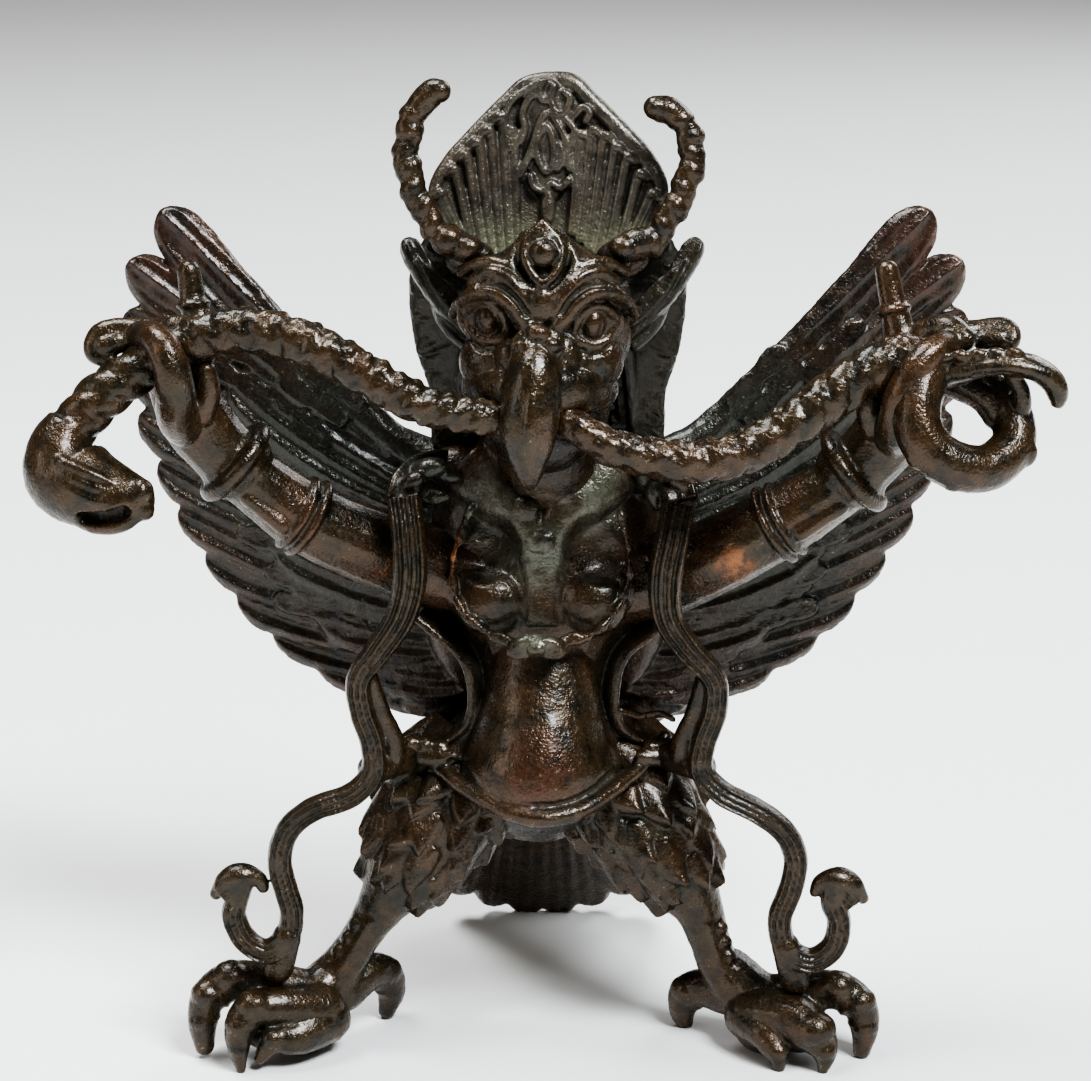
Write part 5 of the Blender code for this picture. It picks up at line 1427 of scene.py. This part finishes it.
@dataclass
class Leg(Assembly):
    """One leg: a feathered thigh, a bare shin with scutes and a tendon, and a foot of hooked toes."""

    side: int
    line: Path
    toes: list[Path]
    pad: Point
    feather_rows: int = 6
    tooling: Tooling = Tooling(grain=0.17, soften=2, ripple=0.12, ripple_size=1.4, pitting=0.05, budget=60000)

    def build(self) -> None:
        """Builds the piece."""
        wax = Wax()
        path = smooth_path(self.line, 6)
        wax.loft(path, (0, -1, 0))
        self.feathers(wax, path)
        self.shin(wax, path)
        self.foot(wax)
        name = "leg_left" if self.side == LEFT else "leg_right"
        self.place(wax, name, self.tooling,
                   Patina(f"{name}_patina", rubbed=0.3, grime_and_shade=0.95, roughness=0.28, hollow_reach=1.4))

    def feathers(self, wax: Wax, path: Path) -> None:
        """Adds rows of pointed feathers round the thigh, each lying over the next row down."""
        for row in range(self.feather_rows):
            start = 1 + 3 * row
            x, y, z, wide, deep = path[start]
            follow = path[start + 6]
            along = (Vector(follow[:3]) - Vector((x, y, z))).normalized()
            count = 11 - row // 2
            for i in range(count):
                angle = math.tau * (i + 0.5 * (row % 2)) / count + 0.12 * math.sin(3.1 * i + row)
                out = Vector((math.cos(angle), math.sin(angle), 0))
                out = (out - along * out.dot(along)).normalized()
                root = Vector((x, y, z)) + Vector((out.x * wide, out.y * deep, out.z * wide)) * 0.9
                reach = Vector(follow[:3]) + Vector((out.x * follow[3], out.y * follow[4], out.z * follow[3])) * 1.06
                stretch = 0.9 + 0.12 * math.sin(5.3 * i + 2.1 * row)
                wax.feather(root, root.lerp(reach, stretch * 1.1), 1.15 * wide / 5.5 + 0.4, out, thickness=0.85,
                            bow=0.7 * math.sin(2.9 * i + row), lift=0.6, section=Section.ROUND, pointed=True)

    def shin(self, wax: Wax, path: Path) -> None:
        """Adds the scutes down the outer edge of the bare shin and the tendon beside them."""
        for i in range(27, 42, 3):
            x, y, z, wide, deep = path[i]
            wax.ball((x + self.side * wide * 0.72, y - deep * 0.55, z), (0.85, 0.75, 0.7), (0, 40 * self.side, 0))
        x, y, z, wide, deep = path[26]
        tendon = [(x + self.side * 0.3, y - deep * 0.8, z, 0.6)]
        for i in (32, 38, 44):
            x, y, z, wide, deep = path[i]
            tendon.append((x + self.side * 0.2, y - deep * 0.78, z, 0.55))
        wax.rod(tendon)

    def foot(self, wax: Wax) -> None:
        """Adds the pad, the web from the shin and the toes, with a soft crease at each knuckle."""
        wax.ball(self.pad, (3.4, 3.0, 2.2))
        wax.ball(Vector(self.pad) + Vector((self.side * 1.6, -1.2, 0.9)), (3.8, 2.9, 2.3), (0, 8 * self.side, 0))
        x, y, _ = self.pad
        wax.rod([(x - self.side * 3.6, y + 3.0, 6.6, 2.0), (x - self.side * 0.6, y + 0.8, 4.6, 2.3),
                 (x + self.side * 3.0, y - 0.2, 4.8, 1.7)])
        for toe in self.toes:
            wax.rod(toe)
            for a, b in zip(toe[1:-2], toe[2:-1]):
                middle = Vector(a[:3]).lerp(Vector(b[:3]), 0.6)
                wax.band(middle, Vector(b[:3]) - Vector(a[:3]), (b[3] * 0.86, b[3] * 0.86), 0.32)
                thick = b[3]
                knuckle = Vector(b[:3]) + Vector((0, -0.25 * thick, 0.35 * thick))
                wax.ball(knuckle, (thick * 0.95, thick * 0.9, thick * 0.8))


@dataclass
class Tail(Assembly):
    """The fan of tail feathers that slopes back from the rump and rests on the ground."""

    feathers: int = 6
    reach: float = 28.4
    tooling: Tooling = Tooling(grain=0.24, soften=3, ripple=0.14, ripple_size=2.0, budget=26000)
    patina: Patina = Patina("tail_patina", rubbed=0.15, grime_and_shade=0.9, roughness=0.3, hollow_reach=6.0)

    def build(self) -> None:
        """Builds the piece."""
        wax = Wax()
        layers = ((1.0, 8.4, self.feathers), (0.62, 6.6, self.feathers - 2))
        for layer, (share_out, spread, count) in enumerate(layers):
            for i in range(count):
                share = 2 * i / (count - 1) - 1
                root = Vector((-0.4 + share * 2.4, 5.0 - layer * 0.2, 29.0))
                rise = 2.9 * max(abs(share) - 0.34, 0) / 0.66
                end = Vector((-0.3 + share * spread, self.reach - 2.4 * share**2, rise - 0.2))
                tip = root.lerp(end, share_out) + Vector((0, 1.2, 1.0)) * layer
                wax.feather(root, tip, 2.3 - 0.2 * layer, (0, 0.75, 0.66), thickness=0.9, section=Section.RIDGED)
        wax.ball((-0.3, 6.0, 26.5), (6.0, 4.2, 4.6))
        self.place(wax, "tail", self.tooling, self.patina)


LEFT_ARM = Arm(
    LEFT,
    [(-5.0, 0.5, 43.0, 3.8), (-9.6, -0.2, 43.9, 3.8), (-14.9, -2.0, 46.2, 3.5), (-20.9, -3.6, 49.4, 3.2),
     (-25.8, -4.6, 53.4, 2.8), (-28.6, -5.0, 56.4, 3.0), (-30.6, -5.3, 59.4, 3.1), (-32.0, -5.6, 63.2, 2.6)],
    [[(-31.0, -5.4, 62.0, 2.4), (-29.8, -4.6, 66.0, 1.6), (-30.4, -3.8, 68.8, 1.2), (-30.7, -3.4, 71.3, 1.05)],
     [(-34.8, -7.2, 66.4, 1.2), (-33.0, -10.2, 66.9, 1.35), (-31.8, -11.6, 65.6, 1.5), (-31.2, -11.6, 62.8, 1.7),
      (-31.4, -9.8, 60.2, 1.8), (-31.2, -7.6, 58.6, 1.8)],
     [(-33.6, -6.8, 66.8, 1.1), (-36.4, -6.8, 67.0, 0.95), (-38.2, -7.0, 66.4, 1.0), (-38.6, -7.6, 65.0, 0.8),
      (-37.2, -8.0, 64.4, 0.7)],
     [(-36.4, -7.2, 66.0, 1.1), (-37.6, -7.5, 65.6, 1.1)],
     [(-27.6, -5.4, 66.0, 1.2), (-29.4, -6.4, 66.6, 1.3), (-31.6, -7.0, 67.0, 1.2)],
     [(-29.6, -7.6, 59.6, 1.3), (-28.8, -8.2, 61.8, 1.1), (-28.9, -8.4, 63.6, 0.9)]],
    (-32.2, -5.6, 63.6), Patch((-13.5, -5.4, 44.8), 2.0, 0.3))

RIGHT_ARM = Arm(
    RIGHT,
    [(5.0, 0.5, 42.0, 3.8), (9.4, -0.2, 42.8, 3.8), (14.2, -2.0, 45.2, 3.5), (20.2, -3.6, 48.8, 3.2),
     (25.6, -4.6, 52.6, 2.8), (28.4, -5.0, 55.6, 3.0), (30.6, -5.3, 58.8, 3.1), (32.4, -5.6, 63.0, 2.6)],
    [[(31.2, -5.4, 62.0, 2.4), (30.6, -4.8, 65.6, 1.6), (30.0, -4.0, 68.4, 1.2), (29.4, -3.4, 71.3, 1.05)],
     [(35.6, -6.8, 65.8, 1.2), (33.4, -9.4, 65.8, 1.35), (31.4, -10.6, 64.4, 1.45), (30.0, -10.8, 61.6, 1.5),
      (29.8, -9.6, 59.0, 1.6), (30.0, -7.8, 57.8, 1.8)],
     [(34.0, -5.6, 66.2, 1.3), (36.8, -5.2, 66.4, 1.0), (39.4, -5.2, 66.7, 1.0), (40.0, -6.2, 66.0, 0.8),
      (39.4, -6.6, 65.2, 0.65)],
     [(37.6, -5.8, 65.8, 1.0), (39.0, -6.0, 66.0, 0.9)],
     [(32.6, -6.0, 66.4, 1.3), (34.4, -7.2, 67.0, 1.3), (35.6, -8.2, 66.4, 1.1)],
     [(28.2, -7.6, 58.6, 1.3), (27.6, -8.2, 60.4, 1.0), (27.8, -8.2, 61.8, 0.8)]],
    (32.8, -5.6, 63.8), Patch((16.6, -6.2, 45.6), 2.4, 0.7))

LEFT_RIBBON = Ribbon(
    LEFT,
    [(-12.3, -6.6, 52.0), (-11.9, -7.6, 49.0), (-11.8, -8.0, 45.0), (-12.7, -8.0, 41.6), (-14.6, -8.0, 38.6),
     (-16.4, -8.0, 36.0), (-16.2, -8.0, 33.0), (-15.3, -8.0, 30.2), (-15.3, -8.2, 27.4), (-17.2, -8.6, 25.4),
     (-20.6, -9.0, 24.2), (-22.8, -9.0, 22.2), (-23.6, -9.0, 19.5), (-23.1, -9.0, 16.7), (-22.6, -9.0, 14.5),
     (-23.1, -9.0, 12.2), (-25.0, -9.0, 10.8), (-26.9, -9.0, 12.0), (-27.8, -9.0, 14.2), (-27.4, -9.0, 15.9),
     (-27.0, -9.0, 17.7), (-29.0, -9.0, 16.5)])

RIGHT_RIBBON = Ribbon(
    RIGHT,
    [(11.6, -6.6, 51.4), (11.0, -7.6, 48.6), (10.4, -8.0, 45.4), (10.6, -8.0, 41.8), (12.4, -8.0, 38.8),
     (14.8, -8.0, 36.0), (14.9, -8.0, 33.0), (14.0, -8.0, 30.2), (13.8, -8.2, 27.6), (15.6, -8.6, 25.6),
     (18.8, -9.0, 24.0), (21.2, -9.0, 22.0), (22.2, -9.0, 19.6), (21.8, -9.0, 16.7), (20.9, -9.0, 13.9),
     (21.5, -9.0, 11.2), (23.7, -9.0, 9.9), (25.7, -9.0, 11.2), (26.2, -9.0, 13.7), (25.5, -9.0, 15.6),
     (25.9, -9.0, 17.3), (27.5, -9.0, 15.4)])

LEFT_LEG = Leg(
    LEFT,
    [(-5.6, 1.8, 26.0, 5.8, 5.6), (-8.4, 0.6, 22.8, 5.9, 5.4), (-10.8, -1.2, 19.4, 5.2, 4.8),
     (-13.0, -2.4, 15.8, 3.7, 3.6), (-14.9, -3.0, 12.9, 2.3, 2.4), (-16.6, -3.2, 10.2, 1.8, 2.0),
     (-18.3, -3.4, 7.6, 1.9, 2.1), (-20.2, -3.8, 5.2, 2.4, 2.4), (-22.0, -5.0, 3.6, 2.6, 2.6)],
    [[(-21.2, -4.8, 4.8, 2.2), (-24.8, -6.0, 6.4, 1.9), (-28.4, -6.6, 6.9, 1.85), (-30.5, -7.2, 5.5, 1.65),
      (-31.0, -7.6, 3.2, 1.35), (-30.9, -7.8, 1.2, 0.95)],
     [(-20.4, -6.8, 4.4, 2.2), (-23.4, -8.8, 5.4, 1.8), (-26.2, -9.8, 5.6, 1.65), (-27.4, -10.4, 4.0, 1.4),
      (-27.5, -10.8, 1.9, 0.95), (-27.3, -11.0, 0.2, 0.4)],
     [(-19.8, -6.6, 3.2, 2.2), (-22.2, -9.2, 2.8, 1.85), (-24.4, -10.2, 2.6, 1.3), (-25.6, -10.8, 1.2, 0.55)],
     [(-18.4, -3.2, 4.6, 2.0), (-16.2, -1.2, 5.6, 1.7), (-14.8, 0.4, 4.6, 1.6), (-14.4, 1.0, 2.6, 1.35),
      (-14.8, 1.0, 0.8, 0.85)]],
    (-22.4, -6.2, 2.2))

RIGHT_LEG = Leg(
    RIGHT,
    [(4.6, 1.8, 26.0, 5.8, 5.6), (7.4, 0.6, 22.6, 5.9, 5.4), (9.8, -1.2, 19.2, 5.2, 4.8),
     (12.1, -2.4, 15.6, 3.7, 3.6), (13.9, -3.0, 12.6, 2.3, 2.4), (14.9, -3.2, 9.8, 1.9, 2.0),
     (15.9, -3.4, 7.2, 1.9, 2.1), (18.0, -3.8, 4.8, 2.4, 2.4), (20.4, -5.0, 3.4, 2.6, 2.6)],
    [[(19.8, -4.8, 4.4, 2.2), (23.2, -6.0, 5.6, 1.85), (26.4, -6.6, 6.0, 1.8), (28.4, -7.2, 4.8, 1.6),
      (28.9, -7.5, 2.6, 1.3), (28.7, -7.7, 0.7, 0.85)],
     [(19.2, -6.6, 3.9, 2.3), (22.0, -8.6, 4.2, 2.3), (24.1, -9.9, 3.2, 2.05), (25.0, -10.7, 1.7, 1.2),
      (24.9, -11.0, 0.2, 0.5)],
     [(18.4, -6.0, 3.2, 2.2), (19.8, -8.8, 2.8, 1.7), (20.8, -10.2, 1.4, 1.1), (21.0, -10.6, 0.2, 0.55)],
     [(17.0, -3.4, 4.2, 2.0), (14.6, -1.8, 4.2, 1.8), (13.1, -1.0, 3.3, 1.7), (12.7, -0.8, 1.7, 1.35),
      (12.9, -0.8, 0.4, 0.85)]],
    (20.6, -6.2, 2.0))


@dataclass(frozen=True)
class SoftLight:
    """A large soft lamp, in metres and watts."""

    name: str
    place: Point
    size: Point
    power: float
    colour: Colour = (1.0, 1.0, 1.0)


@dataclass
class Studio:
    """The plain pale floor, the soft lamps and the camera at the photo's angle."""

    distance: float = 0.28
    elevation: float = 15.0
    look_at: Point = (0.0, 0.0, 46.4)
    lens: float = 103.5
    floor_colour: Colour = (0.80, 0.79, 0.77)
    floor_half: float = 3.0
    room_colour: Colour = (0.88, 0.85, 0.79)
    room_strength: float = 0.16
    lamps: tuple[SoftLight, ...] = (
        SoftLight("window", (0.35, -0.45, 0.75), (0.32, 0.26), 13.0, (0.90, 0.95, 1.0)),
        SoftLight("ceiling", (-0.25, 0.05, 0.8), (0.45, 0.3), 7.0, (0.93, 0.97, 1.0)),
        SoftLight("left_wall", (-0.7, -0.35, 0.3), (0.3, 0.4), 1.2, (1.0, 0.97, 0.93)),
        SoftLight("behind", (0.45, 0.6, 0.45), (0.4, 0.4), 2.4, (0.93, 0.96, 1.0)),
    )

    def build(self) -> None:
        """Builds the floor, the lamps and the camera."""
        self.floor()
        target = (Vector(self.look_at) + FIGURE_PLACE) * MM
        for lamp in self.lamps:
            light = bpy.data.lights.new(lamp.name, "AREA")
            light.shape = "RECTANGLE"
            light.size, light.size_y = lamp.size
            light.energy = lamp.power
            light.color = lamp.colour
            holder = bpy.data.objects.new(lamp.name, light)
            holder.location = lamp.place
            holder.rotation_euler = (target - holder.location).to_track_quat("-Z", "Y").to_euler()
            bpy.context.scene.collection.objects.link(holder)
        rise = math.radians(self.elevation)
        camera = bpy.data.objects.new("camera", bpy.data.cameras.new("camera"))
        camera.data.lens = self.lens
        camera.data.sensor_fit = "HORIZONTAL"
        camera.data.sensor_width = 36.0
        camera.data.clip_start = 0.01
        camera.location = target + Vector((0, -math.cos(rise), math.sin(rise))) * self.distance
        camera.rotation_euler = (target - camera.location).to_track_quat("-Z", "Y").to_euler()
        bpy.context.scene.collection.objects.link(camera)
        bpy.context.scene.camera = camera

    def floor(self) -> None:
        """Adds the floor and the even light of the room."""
        mesh = bpy.data.meshes.new("floor")
        half = self.floor_half
        corners = [(-half, -half, 0), (half, -half, 0), (half, half, 0), (-half, half, 0)]
        mesh.from_pydata(corners, [], [(0, 1, 2, 3)])
        floor = bpy.data.objects.new("floor", mesh)
        bpy.context.scene.collection.objects.link(floor)
        shader = Shader("floor_paper")
        shader.bsdf.inputs["Base Color"].default_value = (*self.floor_colour, 1)
        shader.bsdf.inputs["Roughness"].default_value = 0.85
        mesh.materials.append(shader.material)
        world = bpy.data.worlds.new("room")
        world.use_nodes = True
        sky = world.node_tree.nodes["Background"]
        sky.inputs["Color"].default_value = (*self.room_colour, 1)
        sky.inputs["Strength"].default_value = self.room_strength
        scene = bpy.context.scene
        scene.world = world
        scene.view_settings.view_transform = "AgX"
        scene.view_settings.look = "AgX - High Contrast"
        scene.cycles.max_bounces = 4
        scene.cycles.diffuse_bounces = 2
        scene.cycles.glossy_bounces = 2


def main() -> None:
    """Builds the figure and its studio."""
    logging.basicConfig(level=logging.INFO, format="%(message)s")
    Studio().build()
    pieces = [Torso(), Face(), Crest(), Snake(), LEFT_ARM, RIGHT_ARM, Wing(LEFT), Wing(RIGHT), LEFT_RIBBON,
              RIGHT_RIBBON, LEFT_LEG, RIGHT_LEG, Tail()]
    for piece in pieces:
        piece.build()


if __name__ == "__main__":
    main()
